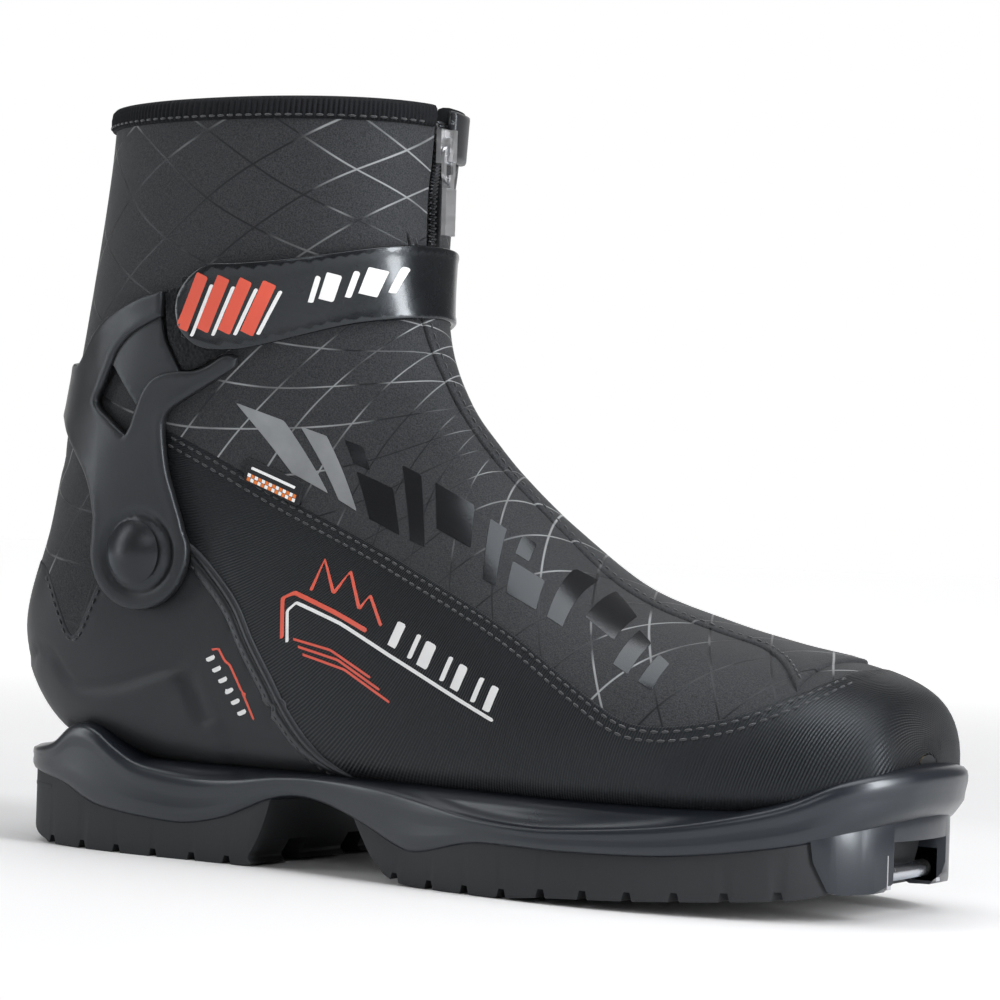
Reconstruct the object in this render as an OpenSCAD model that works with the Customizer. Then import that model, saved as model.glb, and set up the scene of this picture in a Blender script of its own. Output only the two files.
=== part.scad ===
// Back-country ski touring boot, right foot, size EU 42.
// +X points to the toe, +Y to the medial side, +Z up; z = 0 is the floor under the tread.

/* [Sole] */
// Half width of the two grooves that the binding's ridges run in
groove_half_w = 4.5; // [3.5:0.5:5.5]
// Distance of each groove's centre line from the boot's centre line
groove_y = 15; // [13:0.5:17]
// Depth of the grooves
groove_depth = 7; // [5:0.5:8]
// Diameter of the steel bar that clips into the binding
toe_bar_d = 4.6; // [4:0.1:5]
// Clear width between the walls at the toe bar
toe_slot_w = 28; // [26:1:30]

/* [Cuff] */
// Diameter of the pivot rivet's domed head
rivet_head_d = 19; // [17:0.5:21]
// Diameter of the pivot rivet's shank
rivet_shank_d = 8; // [7:0.5:9]
// Radial clearance between the shank and the cuff's bore
rivet_clearance = 0.1; // [0.05:0.01:0.2]
// Radius of the cuff's round lower end
cuff_end_r = 17; // [16:0.5:18]

/* [Front zip] */
// Height of the slider's middle when the zip is closed
slider_z = 210; // [208:1:210]
// Half width of the closed zip coil
coil_half_w = 1.8; // [1.5:0.1:2.2]

/* [Hidden] */

// Sections of the last, from the toe tip along the foot, round the heel and up to the collar.
// Each row: lower or back point x, z; instep point x, z; centre y; half width lateral, medial;
// where the section is widest, from 0 to 1; roundness of its lower and its upper half.
SECTIONS = [
    [147.2, 33, 147.2, 43, 4, 6, 6, 0.45, 2.2, 2.2],
    [146.4, 27, 146.8, 53, 4, 21, 21, 0.45, 2.4, 2.3],
    [141, 24, 142, 60.5, 4, 30, 29, 0.42, 2.8, 2.3],
    [128, 23, 128, 66, 3, 38.5, 36.5, 0.38, 3.2, 2.3],
    [108, 23, 106, 70, 1, 44.5, 43, 0.34, 3.4, 2.2],
    [86, 23, 83, 75.5, 0, 48, 47, 0.32, 3.4, 2.1],
    [60, 23, 56, 84.5, 0, 48.5, 47, 0.3, 3.6, 2],
    [33, 23, 33, 100.5, 0, 45.5, 41, 0.28, 3.8, 1.9],
    [0, 23, 17, 114.5, 0, 41, 36.5, 0.24, 3.8, 1.85],
    [-45, 24, 8, 124, 0, 37, 35.5, 0.24, 3.6, 1.85],
    [-95, 25, 1, 132, 0, 35.5, 35.5, 0.26, 3.2, 1.9],
    [-134, 33, -4, 140, 0, 35.5, 35.5, 0.3, 2.6, 1.95],
    [-150, 59, -8, 148, 0, 36.5, 36.5, 0.32, 2.5, 2],
    [-143, 93, -11, 157, 0, 37, 37, 0.36, 2.3, 2.05],
    [-138, 123, -12.5, 168, 0, 38, 38, 0.4, 2.2, 2.1],
    [-132.5, 153, -13, 181, 0, 38.5, 38.5, 0.44, 2.2, 2.15],
    [-127.5, 181, -13, 196, 0, 39, 39, 0.46, 2.2, 2.2],
    [-124, 204, -12, 206, 0, 39.5, 39.5, 0.47, 2.2, 2.2],
    [-122.5, 222, -11, 222, 0, 40, 40, 0.48, 2.2, 2.2]
];
last_row = len(SECTIONS) - 1;
collar_z = 222;

// Layers of the upper, as depths below the outer surface; a negative depth stands proud.
panel_t = 1.6;
stiffener_in = [1.8, 3];
board_in = [1.8, 3.6];
foam_in = [1.8, 3.6];
lining_in = [3.8, 4.8];
footbed_in = [5, 9];
tongue_in = [5, 8.5];
cuff_out = [-3.8, -1.2];
loop_out = [-1.6, -0.5];
hook_out = [-2.7, -1.8];
tab_out = [-4.6, -2.9];
band_out = [-2.5, -0.9];
fine = 32;
coarse = 16;

// Cuff pivot, and the wedge of stretch fabric that lets the shaft lean about it
pivot = [-89, 89];
front_wedge = [22, 40];
rear_wedge = [143, 155];
reach = 260;
pivot_disc_r = 12;

// Seam between the vamp and the softshell, from the cuff to the top of the toe
SEAM = [[-84, 127], [-66, 118.5], [-39, 105], [-2, 90], [36, 74.5], [64, 59.5], [80, 51.2],
        [89, 49.3], [99, 50], [115, 54], [129, 60.5], [137, 67], [141, 75]];
// Curved edge of the heel counter, from under the cuff to the sole
PIPING = [[-84, 97], [-72, 90], [-64, 83], [-56, 74.5], [-49.5, 64.5], [-41.5, 54],
          [-33, 43], [-23.5, 34], [-12, 27], [0, 21]];
counter_top_z = 101;

// Upper and lower edge of the sole frame's side wall
FRAME_TOP = [[-152, 28], [-136, 29], [-125, 31], [-116, 36.5], [-107, 36], [-98, 31],
             [-88, 26.8], [-70, 24.6], [-55, 25], [-37, 27], [-19, 27.6], [0, 26.6],
             [17, 24.3], [34, 21.8], [50, 20.6], [66, 20.8], [98, 24], [125, 29],
             [142, 35.5], [152, 40]];
FRAME_LOW = [[152, 27], [142, 23], [126, 18.8], [98, 15], [67, 13.9], [46, 14], [34, 13.3],
             [17, 9.4], [9, 10], [-5, 15.5], [-19, 19.8], [-30, 21], [-41, 19], [-55, 13.5],
             [-68, 10.5], [-80, 10.3], [-105, 13], [-122, 19], [-152, 23]];
// Underside of the rubber tread under the heel and under the forefoot
HEEL_TREAD = [[-152, 14], [-138, 4.5], [-128, 1], [-118, 0], [-52, 0], [-47, 3], [-42, 12],
              [-38, 24]];
FORE_TREAD = [[-12, 24], [-6, 14], [-1, 7], [5, 2], [14, 0], [44, 0], [60, 1.4], [90, 3],
              [120, 5], [152, 9.5]];
// Outline of the sole seen from above
OUTLINE = [[-147, 0], [-144.5, -15], [-135, -27.5], [-118, -34.5], [-92, -37.2], [-60, -37],
           [-25, -39], [5, -43], [35, -48], [60, -50.6], [84, -50], [105, -46.3], [125, -39.5],
           [139, -29], [147.3, -14], [150, 3], [147.8, 19], [140, 31.5], [126, 40], [106, 46],
           [84, 49.8], [62, 50.6], [36, 45], [8, 38.5], [-25, 36], [-60, 36.5], [-92, 37.2],
           [-118, 34.5], [-135, 27.5], [-144.5, 15]];

// --- curves ---------------------------------------------------------------------------------
function blend_rows(a, b, c, d, t) =
    0.5 * (2 * b + (c - a) * t + (2 * a - 5 * b + 4 * c - d) * t * t
           + (3 * b - a - 3 * c + d) * t * t * t);
function open_curve(p, steps) = [
    for (i = [0 : len(p) - 2], k = [0 : steps - 1])
        let (a = i > 0 ? p[i - 1] : 2 * p[0] - p[1],
             d = i < len(p) - 2 ? p[i + 2] : 2 * p[i + 1] - p[i])
            blend_rows(a, p[i], p[i + 1], d, k / steps),
    p[len(p) - 1]];
function closed_curve(p, steps) = [
    for (i = [0 : len(p) - 1], k = [0 : steps - 1])
        let (n = len(p))
            blend_rows(p[(i + n - 1) % n], p[i], p[(i + 1) % n], p[(i + 2) % n], k / steps)];
function inset(p, d) = [
    for (i = [0 : len(p) - 1])
        let (n = len(p), v = p[(i + 1) % n] - p[(i + n - 1) % n])
            p[i] + d * [-v[1], v[0]] / norm(v)];
function backwards(p) = [for (i = [len(p) - 1 : -1 : 0]) p[i]];

// --- surface of the last --------------------------------------------------------------------
function section(s) =
    let (i = min(floor(s), last_row - 1),
         a = i > 0 ? SECTIONS[i - 1] : 2 * SECTIONS[0] - SECTIONS[1],
         d = i < last_row - 1 ? SECTIONS[i + 2] : 2 * SECTIONS[i + 1] - SECTIONS[i])
        blend_rows(a, SECTIONS[i], SECTIONS[i + 1], d, s - i);
// Angle a runs from 0 at the lower point to 180 at the instep, positive on the lateral side
function skin(s, a) =
    let (r = section(s), low = cos(a) >= 0,
         across = pow(abs(sin(a)), 2 / (low ? r[8] : r[9])),
         along = low ? r[7] * (1 - pow(cos(a), 2 / r[8]))
                     : r[7] + (1 - r[7]) * pow(-cos(a), 2 / r[9]),
         y = r[4] + (a < 0 ? r[6] * across : -r[5] * across))
        [r[0] + (r[2] - r[0]) * along, y, r[1] + (r[3] - r[1]) * along];
function unit(v) = v / norm(v);
function outward(s, a) =
    let (s0 = max(s - 0.02, 0), s1 = min(s + 0.02, last_row),
         along = skin(s1, a) - skin(s0, a),
         round_it = skin(s, a + 0.6) - skin(s, a - 0.6))
        unit(cross(round_it, along));
function layer_point(s, a, depth) = skin(s, a) - depth * outward(s, a);

// The last at one depth, closed at the toe tip and lifted past the collar
module last_solid(depth, sides, lift = 8) {
    rings = 2 * last_row;
    body = [for (i = [0 : rings], j = [0 : sides - 1])
                layer_point(i / 2, -180 + 0.001 + 360 * j / sides, depth)];
    top = [for (j = [0 : sides - 1]) let (p = body[rings * sides + j]) [p[0], p[1], p[2] + lift]];
    toe = layer_point(0, 90, depth) / 2 + layer_point(0, -90, depth) / 2;
    points = concat(body, top, [toe]);
    faces = concat(
        [for (i = [0 : rings], j = [0 : sides - 1], half = [0, 1])
            let (k = (j + 1) % sides, a = i * sides, b = a + sides)
                half == 0 ? [a + j, b + k, a + k] : [a + j, b + j, b + k]],
        [[for (j = [0 : sides - 1]) (rings + 2) * sides - 1 - j]],
        [for (j = [0 : sides - 1]) [len(points) - 1, j, (j + 1) % sides]]);
    polyhedron(points, faces, convexity = 6);
}
module layer(depths, sides = fine) {
    difference() {
        last_solid(depths[0], sides);
        last_solid(depths[1], sides, 9);
    }
}
// Everything behind an outline drawn in side view
module side_view(points, y0 = -70, y1 = 70)
    translate([0, y1, 0]) rotate([90, 0, 0]) linear_extrude(y1 - y0) polygon(points);
// Everything under an outline drawn in plan
module plan_view(points, z0, z1)
    translate([0, 0, z0]) linear_extrude(z1 - z0) polygon(points);
// Soft pieces are evaluated as one mesh
module piece_of_upper() resize([0, 0, 0]) children();

// --- regions in side view -------------------------------------------------------------------
function ray(angle) = pivot + reach * [cos(angle), sin(angle)];
function sector(a0, a1) =
    concat([pivot], [for (k = [0 : 6]) ray(a0 + (a1 - a0) * k / 6)]);
module shaft_region() {
    difference() {
        side_view(sector(front_wedge[1], rear_wedge[0]));
        pivot_bore(pivot_disc_r + 1);
    }
}
module foot_region() {
    side_view(sector(rear_wedge[1] - 360, front_wedge[0]));
    pivot_bore(pivot_disc_r);
}
module pivot_bore(r, y0 = -70, y1 = 70)
    translate([pivot[0], y1, pivot[1]]) rotate([90, 0, 0]) cylinder(r = r, h = y1 - y0, $fn = 48);
module below_seam()
    side_view(concat(open_curve(SEAM, 4), [[160, 75], [160, 0], [-84, 0]]));
module behind_piping(shift = 0)
    side_view(concat([for (p = open_curve(PIPING, 3)) p + [shift, 0]],
                     [[0, 0], [-170, 0], [-170, counter_top_z], [-84 + shift, counter_top_z]]));
module lasting_opening(margin)
    plan_view(inset(closed_curve(OUTLINE, 2), margin), 15, 31);
module front_slot(half_w, y = 0, z0 = 0)
    translate([-40, y - half_w, z0]) cube([200, 2 * half_w, 260 - z0]);

// --- sole -----------------------------------------------------------------------------------
module tread_body(outline, z1) {
    intersection() {
        plan_view(inset(closed_curve(OUTLINE, 2), 1.6), 0, z1);
        side_view(outline);
        side_view(concat(open_curve(FRAME_LOW, 2), [[-152, -1], [152, -1]]));
    }
}
module binding_grooves(x0, x1) {
    for (side = [-1, 1])
        translate([x0, side * groove_y - groove_half_w, -1])
            cube([x1 - x0, 2 * groove_half_w, groove_depth + 1]);
}
module outsole_heel() {
    color([0.2, 0.19, 0.185])
        difference() {
            tread_body(concat(HEEL_TREAD, [[-152, 24]]), 24);
            binding_grooves(-160, -30);
            for (x = [-118, -104, -90, -76, -62], side = [-1, 1])
                translate([x, side > 0 ? 25 : -45, -1]) cube([4, 20, 4]);
        }
}
module outsole_forefoot() {
    color([0.2, 0.19, 0.185])
        difference() {
            tread_body(concat(FORE_TREAD, [[152, 27]]), 27);
            binding_grooves(-20, 160);
            toe_slot();
            toe_bar_rod();
            toe_bar_plates();
            for (x = [10 : 14 : 122], side = [-1, 1])
                translate([x, side > 0 ? 26 : -54, -1]) cube([4.5, 28, 5 + x / 40]);
        }
}
module toe_slot()
    translate([128, -toe_slot_w / 2, -5]) cube([40, toe_slot_w, 26]);
module sole_frame() {
    color([0.09, 0.1, 0.13])
        piece_of_upper() difference() {
            intersection() {
                plan_view(closed_curve(OUTLINE, 3), 5, 45);
                side_view(concat(open_curve(FRAME_TOP, 3), open_curve(FRAME_LOW, 2)));
            }
            last_solid(-0.3, fine);
            toe_slot();
            translate([-93, -10.5, 22.8]) cube([126, 21, 6]);
        }
}
toe_bar_at = [142, 12];
module toe_bar_rod()
    translate([toe_bar_at[0], 19, toe_bar_at[1]]) rotate([90, 0, 0])
        cylinder(d = toe_bar_d, h = 38, $fn = 48);
module toe_bar_plates()
    for (side = [-1, 1])
        translate([toe_bar_at[0] - 8, side > 0 ? toe_slot_w / 2 : -toe_slot_w / 2 - 2.2, 8.5])
            cube([12, 2.2, 9]);
module toe_bar() {
    color([0.75, 0.75, 0.77]) toe_bar_rod();
}
module toe_bar_plate() {
    color([0.6, 0.6, 0.62])
        difference() {
            toe_bar_plates();
            toe_bar_rod();
        }
}
module shank() {
    color([0.55, 0.57, 0.6])
        translate([-92, -10, 22.9]) cube([124, 20, 1.5]);
}

// --- foot -----------------------------------------------------------------------------------
module lasting_board() {
    color([0.72, 0.62, 0.45])
        piece_of_upper() intersection() {
            layer(board_in, coarse);
            plan_view(inset(closed_curve(OUTLINE, 1), 10), 10, 32);
        }
}
module footbed() {
    color([0.25, 0.27, 0.3])
        piece_of_upper() intersection() {
            layer(footbed_in, coarse);
            plan_view(inset(closed_curve(OUTLINE, 1), 9), 10, 36);
        }
}
module foot_lining() {
    color([0.16, 0.16, 0.17])
        piece_of_upper() difference() {
            intersection() {
                layer(lining_in, coarse);
                foot_region();
            }
            pivot_bore(rivet_shank_d / 2 + 0.3);
        }
}
module toe_puff() {
    color([0.5, 0.45, 0.4])
        piece_of_upper() intersection() {
            layer(stiffener_in, coarse);
            side_view([[112, 32], [160, 32], [160, 80], [118, 80]]);
        }
}
module heel_stiffener() {
    color([0.5, 0.45, 0.4])
        piece_of_upper() difference() {
            intersection() {
                layer(stiffener_in, coarse);
                side_view([[-160, 33], [-86, 33], [-76, 60], [-76, 97], [-160, 97]]);
            }
            pivot_bore(rivet_shank_d / 2 + 0.3);
        }
}
module vamp_panel() {
    color([0.17, 0.17, 0.18])
        piece_of_upper() difference() {
            intersection() {
                layer([0, panel_t]);
                below_seam();
                foot_region();
            }
            behind_piping(1.7);
            lasting_opening(14);
        }
}
module heel_counter_panel() {
    color([0.13, 0.13, 0.14])
        piece_of_upper() difference() {
            intersection() {
                layer([0, panel_t]);
                behind_piping(-1.7);
                foot_region();
            }
            lasting_opening(14);
            pivot_bore(rivet_shank_d / 2 + 0.3);
        }
}
module counter_piping() {
    color([0.07, 0.07, 0.07])
        piece_of_upper() difference() {
            intersection() {
                layer([-0.9, panel_t]);
                behind_piping(1.5);
                foot_region();
                side_view([[-90, 27.5], [10, 27.5], [10, 100], [-90, 100]]);
            }
            behind_piping(-1.5);
            last_solid(-0.3, fine);
        }
}
module foot_softshell() {
    color([0.2, 0.2, 0.21])
        piece_of_upper() difference() {
            intersection() {
                layer([0.3, panel_t]);
                foot_region();
            }
            translate([0, 0, 0.4]) below_seam();
            behind_piping(1.7);
            foot_zip_slot(3.4);
            pivot_bore(rivet_shank_d / 2 + 0.3);
        }
}
foot_zip_y = 8;
module foot_zip_slot(half_w)
    translate([4, foot_zip_y - half_w, 60]) cube([86, 2 * half_w, 80]);
module foot_zip_tapes() {
    color([0.08, 0.08, 0.08])
        piece_of_upper() difference() {
            intersection() {
                layer([1.8, 2.5]);
                foot_region();
                translate([6, foot_zip_y - 8, 60]) cube([82, 16, 80]);
            }
            foot_zip_slot(coil_half_w + 0.2);
        }
}
module foot_zip_coil() {
    color([0.1, 0.1, 0.1])
        piece_of_upper() intersection() {
            layer([0.4, 2.3]);
            foot_region();
            translate([7, foot_zip_y - coil_half_w, 60]) cube([80, 2 * coil_half_w, 80]);
        }
}
module instep_placket() {
    color([0.19, 0.19, 0.2])
        piece_of_upper() intersection() {
            layer([-0.9, 0.1]);
            foot_region();
            plan_view([[4, -2], [40, -2], [84, -9], [100, -8], [113, -12], [122, -10], [125, -2],
                       [122, 12], [110, 18], [4, 16]], 60, 140);
            translate([0, 0, 1]) above_seam();
        }
}
module above_seam()
    side_view(concat(open_curve(SEAM, 4), [[160, 240], [-160, 240]]));
module tongue() {
    color([0.14, 0.14, 0.15])
        piece_of_upper() intersection() {
            layer(tongue_in, coarse);
            foot_region();
            translate([0, -26, 60]) cube([88, 52, 90]);
        }
}
EYELET_SECTIONS = [5.7, 6.3, 6.9, 7.5, 8.1];
eyelet_angle = 142;
module eyelet_stays() {
    color([0.1, 0.1, 0.1])
        piece_of_upper() intersection() {
            layer([2.7, 3.5], coarse);
            foot_region();
            union() for (side = [-1, 1])
                translate([8, side > 0 ? 17 : -27, 55]) cube([74, 10, 90]);
        }
}
// Stands a piece on the last, its +Z along the outward direction
module on_last(s, a, depth) {
    n = outward(s, a);
    translate(layer_point(s, a, depth)) rotate([0, acos(n[2]), atan2(n[1], n[0])]) children();
}
module eyelets() {
    color([0.7, 0.7, 0.72])
        for (s = EYELET_SECTIONS, side = [-1, 1])
            on_last(s, side * eyelet_angle, 3.55) difference() {
                cylinder(d = 6, h = 0.9, $fn = 24);
                translate([0, 0, -1]) cylinder(d = 3.4, h = 3, $fn = 24);
            }
}
module woven_label() {
    color([0.85, 0.45, 0.15])
        piece_of_upper() intersection() {
            layer([-0.8, 0.1]);
            side_view([[-55, 118], [-36, 108], [-35, 112.5], [-54, 122]], -70, 0);
        }
}

// --- pivot ----------------------------------------------------------------------------------
rivet_foot_y = 28.6;
head_y = 41;
module rivet(side) {
    translate([pivot[0], 0, pivot[1]]) rotate([side > 0 ? -90 : 90, 0, 0]) {
        translate([0, 0, rivet_foot_y])
            cylinder(d = rivet_shank_d, h = head_y + 0.4 - rivet_foot_y, $fn = 64);
        translate([0, 0, rivet_foot_y - 1.4]) cylinder(d = rivet_shank_d + 6, h = 1.4, $fn = 64);
        translate([0, 0, head_y]) rotate_extrude($fn = 72) rivet_dome();
    }
}
module rivet_dome() {
    cap_h = 3.6;
    r = rivet_head_d / 2;
    ball_r = (r * r + cap_h * cap_h) / (2 * cap_h);
    intersection() {
        translate([0, cap_h - ball_r]) circle(r = ball_r, $fn = 120);
        square([r, 2 * cap_h]);
    }
}
module pivot_rivet_lateral() color([0.05, 0.05, 0.05]) rivet(-1);
module pivot_rivet_medial() color([0.05, 0.05, 0.05]) rivet(1);
module rivet_washers() {
    color([0.6, 0.6, 0.6])
        for (side = [-1, 1])
            translate([pivot[0], side > 0 ? rivet_foot_y + 0.1 : -rivet_foot_y - 1.1, pivot[1]]) rotate([-90, 0, 0])
                difference() {
                    cylinder(d = 13, h = 1, $fn = 48);
                    translate([0, 0, -1]) cylinder(d = rivet_shank_d + 0.2, h = 3, $fn = 48);
                }
}
module ankle_gusset() {
    color([0.17, 0.17, 0.18])
        piece_of_upper() intersection() {
            layer([0.3, panel_t]);
            union() {
                side_view(sector(front_wedge[0] + 0.5, front_wedge[1] - 0.5));
                side_view(sector(rear_wedge[0] + 0.5, rear_wedge[1] - 0.5));
            }
            difference() {
                translate([-200, -100, 0]) cube([400, 200, 230]);
                pivot_bore(pivot_disc_r + 5);
            }
        }
}

// --- shaft and cuff -------------------------------------------------------------------------
// Outline of the cuff in side view: round end, front arm and prong, window, rear prong and band
CUFF_FRONT = [[-73.5, 100], [-76.5, 107], [-78, 117], [-79.2, 126], [-78.5, 131], [-76, 134.5],
              [-70, 138.4], [-62, 141.4], [-57, 144.6]];
CUFF_PRONG = [[-56.4, 146.8], [-60.5, 147.4], [-69, 143.6], [-75, 142.6], [-81, 140.4],
              [-87, 137], [-90.5, 131.5], [-91.5, 124.5]];
CUFF_WINDOW = [[-98, 126], [-104.5, 133], [-103.5, 140], [-100.5, 146], [-96.5, 151], [-91, 155],
               [-81.4, 158.2]];
CUFF_REAR = [[-81.4, 165], [-93, 161], [-103, 157.5], [-110, 152.6], [-118, 147.6],
             [-128, 146], [-160, 146], [-160, 128.5], [-128, 128], [-120, 122.5],
             [-111, 114], [-106.4, 107], [-105.5, 100]];
module cuff_round_end() {
    side_view(concat([for (k = [0 : 16]) pivot + cuff_end_r * [cos(k * 22.5), sin(k * 22.5)]]));
    side_view([[pivot[0] - cuff_end_r, 88], [pivot[0] + cuff_end_r, 88], [-73.5, 101],
               [-105.5, 101]]);
}
module cuff_shell() {
    color([0.1, 0.1, 0.105])
        difference() {
            piece_of_upper() intersection() {
                layer(cuff_out);
                union() {
                    side_view(concat(CUFF_FRONT, CUFF_PRONG, CUFF_WINDOW, CUFF_REAR));
                    cuff_round_end();
                }
            }
            pivot_bore(rivet_shank_d / 2 + rivet_clearance);
        }
}
module shaft_softshell() {
    color([0.2, 0.2, 0.21])
        piece_of_upper() difference() {
            intersection() {
                layer([0.3, panel_t]);
                shaft_region();
                side_view([[-160, 80], [30, 80], [30, collar_z - 6.5], [-160, collar_z - 6.5]]);
            }
            front_slot(3.4, 0, 150);
        }
}
module shaft_foam() {
    color([0.3, 0.3, 0.32])
        piece_of_upper() difference() {
            intersection() {
                layer(foam_in, coarse);
                shaft_region();
                side_view([[-160, 115], [30, 115], [30, collar_z - 7], [-160, collar_z - 7]]);
            }
            front_slot(13, 0, 100);
        }
}
module shaft_lining() {
    color([0.16, 0.16, 0.17])
        piece_of_upper() intersection() {
            layer(lining_in, coarse);
            shaft_region();
            side_view([[-160, 80], [30, 80], [30, collar_z - 7], [-160, collar_z - 7]]);
        }
}
module collar_binding() {
    color([0.06, 0.06, 0.06])
        piece_of_upper() difference() {
            intersection() {
                layer([-0.4, lining_in[1]], fine);
                side_view([[-160, collar_z - 6.2], [30, collar_z - 6.2], [30, collar_z],
                           [-160, collar_z]]);
            }
            front_slot(2.4, 0, 150);
        }
}
module shaft_zip_tapes() {
    color([0.08, 0.08, 0.08])
        piece_of_upper() difference() {
            intersection() {
                layer([1.8, 2.5]);
                shaft_region();
                side_view([[-60, 150], [30, 150], [30, collar_z - 7.2], [-60, collar_z - 7.2]]);
                front_slot(11, 0, 150);
            }
            front_slot(coil_half_w + 0.2, 0, 140);
        }
}
module shaft_zip_coil() {
    color([0.1, 0.1, 0.1])
        piece_of_upper() intersection() {
            layer([0.4, 2.3]);
            shaft_region();
            side_view([[-60, 152], [30, 152], [30, collar_z - 7.4], [-60, collar_z - 7.4]]);
            front_slot(coil_half_w, 0, 150);
        }
}
// Small soft cap beside the zip's top end, on the medial side
module zip_garage() {
    color([0.06, 0.06, 0.06])
        piece_of_upper() intersection() {
            layer([-2.2, -0.6]);
            translate([-40, 3.6, 200]) cube([40, 11, 18]);
        }
}

// --- strap ----------------------------------------------------------------------------------
STRAP_TOP = [[-5, 181.6], [-15, 180.6], [-26, 178.4], [-42, 175.4], [-58, 172.6], [-70, 172]];
STRAP_LOW = [[-70, 149], [-58, 149.6], [-44, 152.4], [-28, 156.4], [-14, 159], [-5, 159.6]];
strap_split = [-35, -33.5];
tab_gap = 1.2;
module strap_outline(y0, y1)
    side_view(concat(open_curve(STRAP_TOP, 2), open_curve(STRAP_LOW, 2)), y0, y1);
module strap_end(y0, y1)
    translate([-69, y1, 160.6]) rotate([90, 0, 0]) cylinder(r = 11, h = y1 - y0, $fn = 48);
// The band runs from the two medial rivets round the front to where the tab begins
module strap_band() {
    color([0.06, 0.06, 0.065])
        difference() {
            piece_of_upper() intersection() {
                layer(band_out);
                union() {
                    strap_outline(0, 70);
                    side_view([[-76, 149.4], [-69, 149.4], [-69, 171.6], [-76, 171.6]], 0, 70);
                    intersection() {
                        strap_outline(-70, 1);
                        translate([strap_split[0] + tab_gap, -70, 100]) cube([60, 72, 100]);
                    }
                }
            }
            for (z = [155, 166])
                translate([-70, 30, z]) rotate([-90, 0, 0]) cylinder(d = 3.2, h = 20, $fn = 32);
        }
}
module strap_rivets() {
    color([0.65, 0.65, 0.66])
        for (z = [155, 166])
            translate([-70, 40.2, z]) rotate([-90, 0, 0]) {
                translate([0, 0, 1.5]) cylinder(d = 6, h = 0.9, $fn = 32);
                cylinder(d = 3, h = 2, $fn = 32);
            }
}
module loop_tape() {
    color([0.05, 0.05, 0.05])
        piece_of_upper() intersection() {
            layer(loop_out);
            side_view([[-79, 148.6], [-60, 149.8], [-44, 153.4], [-38, 155], [-38, 173.6],
                       [-58, 170.4], [-79, 167]], -70, 0);
        }
}
module strap_tab() {
    color([0.06, 0.06, 0.065])
        piece_of_upper() union() {
            intersection() {
                layer(tab_out);
                union() {
                    strap_outline(-70, 0);
                    strap_end(-70, 0);
                }
                translate([-90, -70, 100]) cube([90 + strap_split[0], 70, 100]);
            }
        }
}
module hook_tape() {
    color([0.04, 0.04, 0.04])
        piece_of_upper() intersection() {
            layer(hook_out);
            side_view([[-74, 152.4], [-58, 151.4], [-44, 154.6], [-40, 155.6], [-40, 174],
                       [-58, 170.8], [-74, 170]], -70, 0);
        }
}

// --- zip slider and pull --------------------------------------------------------------------
slider_at = [-10.4, 0, slider_z];
bail_half_h = 4.6;
link_pitch = 5.3;
module zip_slider() {
    color([0.72, 0.72, 0.74])
        translate(slider_at) {
            translate([-1, -3.1, -5]) cube([1.6, 6.2, 10]);
            for (z = [-bail_half_h, bail_half_h - 2]) translate([0.5, -1, z]) cube([2.2, 2, 2]);
            translate([2.4, -1, -bail_half_h]) cube([1.2, 2, 2 * bail_half_h]);
        }
}
// Flat ring through the slider's bail, standing off the plate
module zip_link() {
    color([0.75, 0.75, 0.77])
        translate(slider_at + [0.95, 0, -2.7]) rotate([0, 90, 0]) linear_extrude(1)
            difference() {
                slot_outline(3, link_pitch);
                slot_outline(1.8, link_pitch);
            }
}
module slot_outline(r, pitch) {
    circle(r = r, $fn = 40);
    translate([0, -r]) square([pitch, 2 * r]);
    translate([pitch, 0]) circle(r = r, $fn = 40);
}
module zip_puller() {
    color([0.5, 0.5, 0.52])
        translate(slider_at) {
            difference() {
                translate([0, -1, -12.4]) cube([3, 2, 4]);
                translate([0.55, -2, -11.5]) cube([1.8, 4, 2.2]);
            }
            translate([1.2, -2.6, -26]) cube([1.5, 5.2, 13.7]);
        }
}

outsole_heel();
outsole_forefoot();
sole_frame();
toe_bar();
toe_bar_plate();
shank();
lasting_board();
footbed();
foot_lining();
toe_puff();
heel_stiffener();
vamp_panel();
heel_counter_panel();
counter_piping();
foot_softshell();
foot_zip_tapes();
foot_zip_coil();
instep_placket();
tongue();
eyelet_stays();
eyelets();
woven_label();
pivot_rivet_lateral();
pivot_rivet_medial();
rivet_washers();
ankle_gusset();
cuff_shell();
shaft_softshell();
shaft_foam();
shaft_lining();
collar_binding();
shaft_zip_tapes();
shaft_zip_coil();
zip_garage();
loop_tape();
strap_band();
strap_rivets();
strap_tab();
hook_tape();
zip_slider();
zip_link();
zip_puller();
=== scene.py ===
import bmesh
import bpy
from math import cos, pi, radians, sin, tau
import numpy as np
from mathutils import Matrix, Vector, geometry, kdtree
from mathutils.bvhtree import BVHTree


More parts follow.
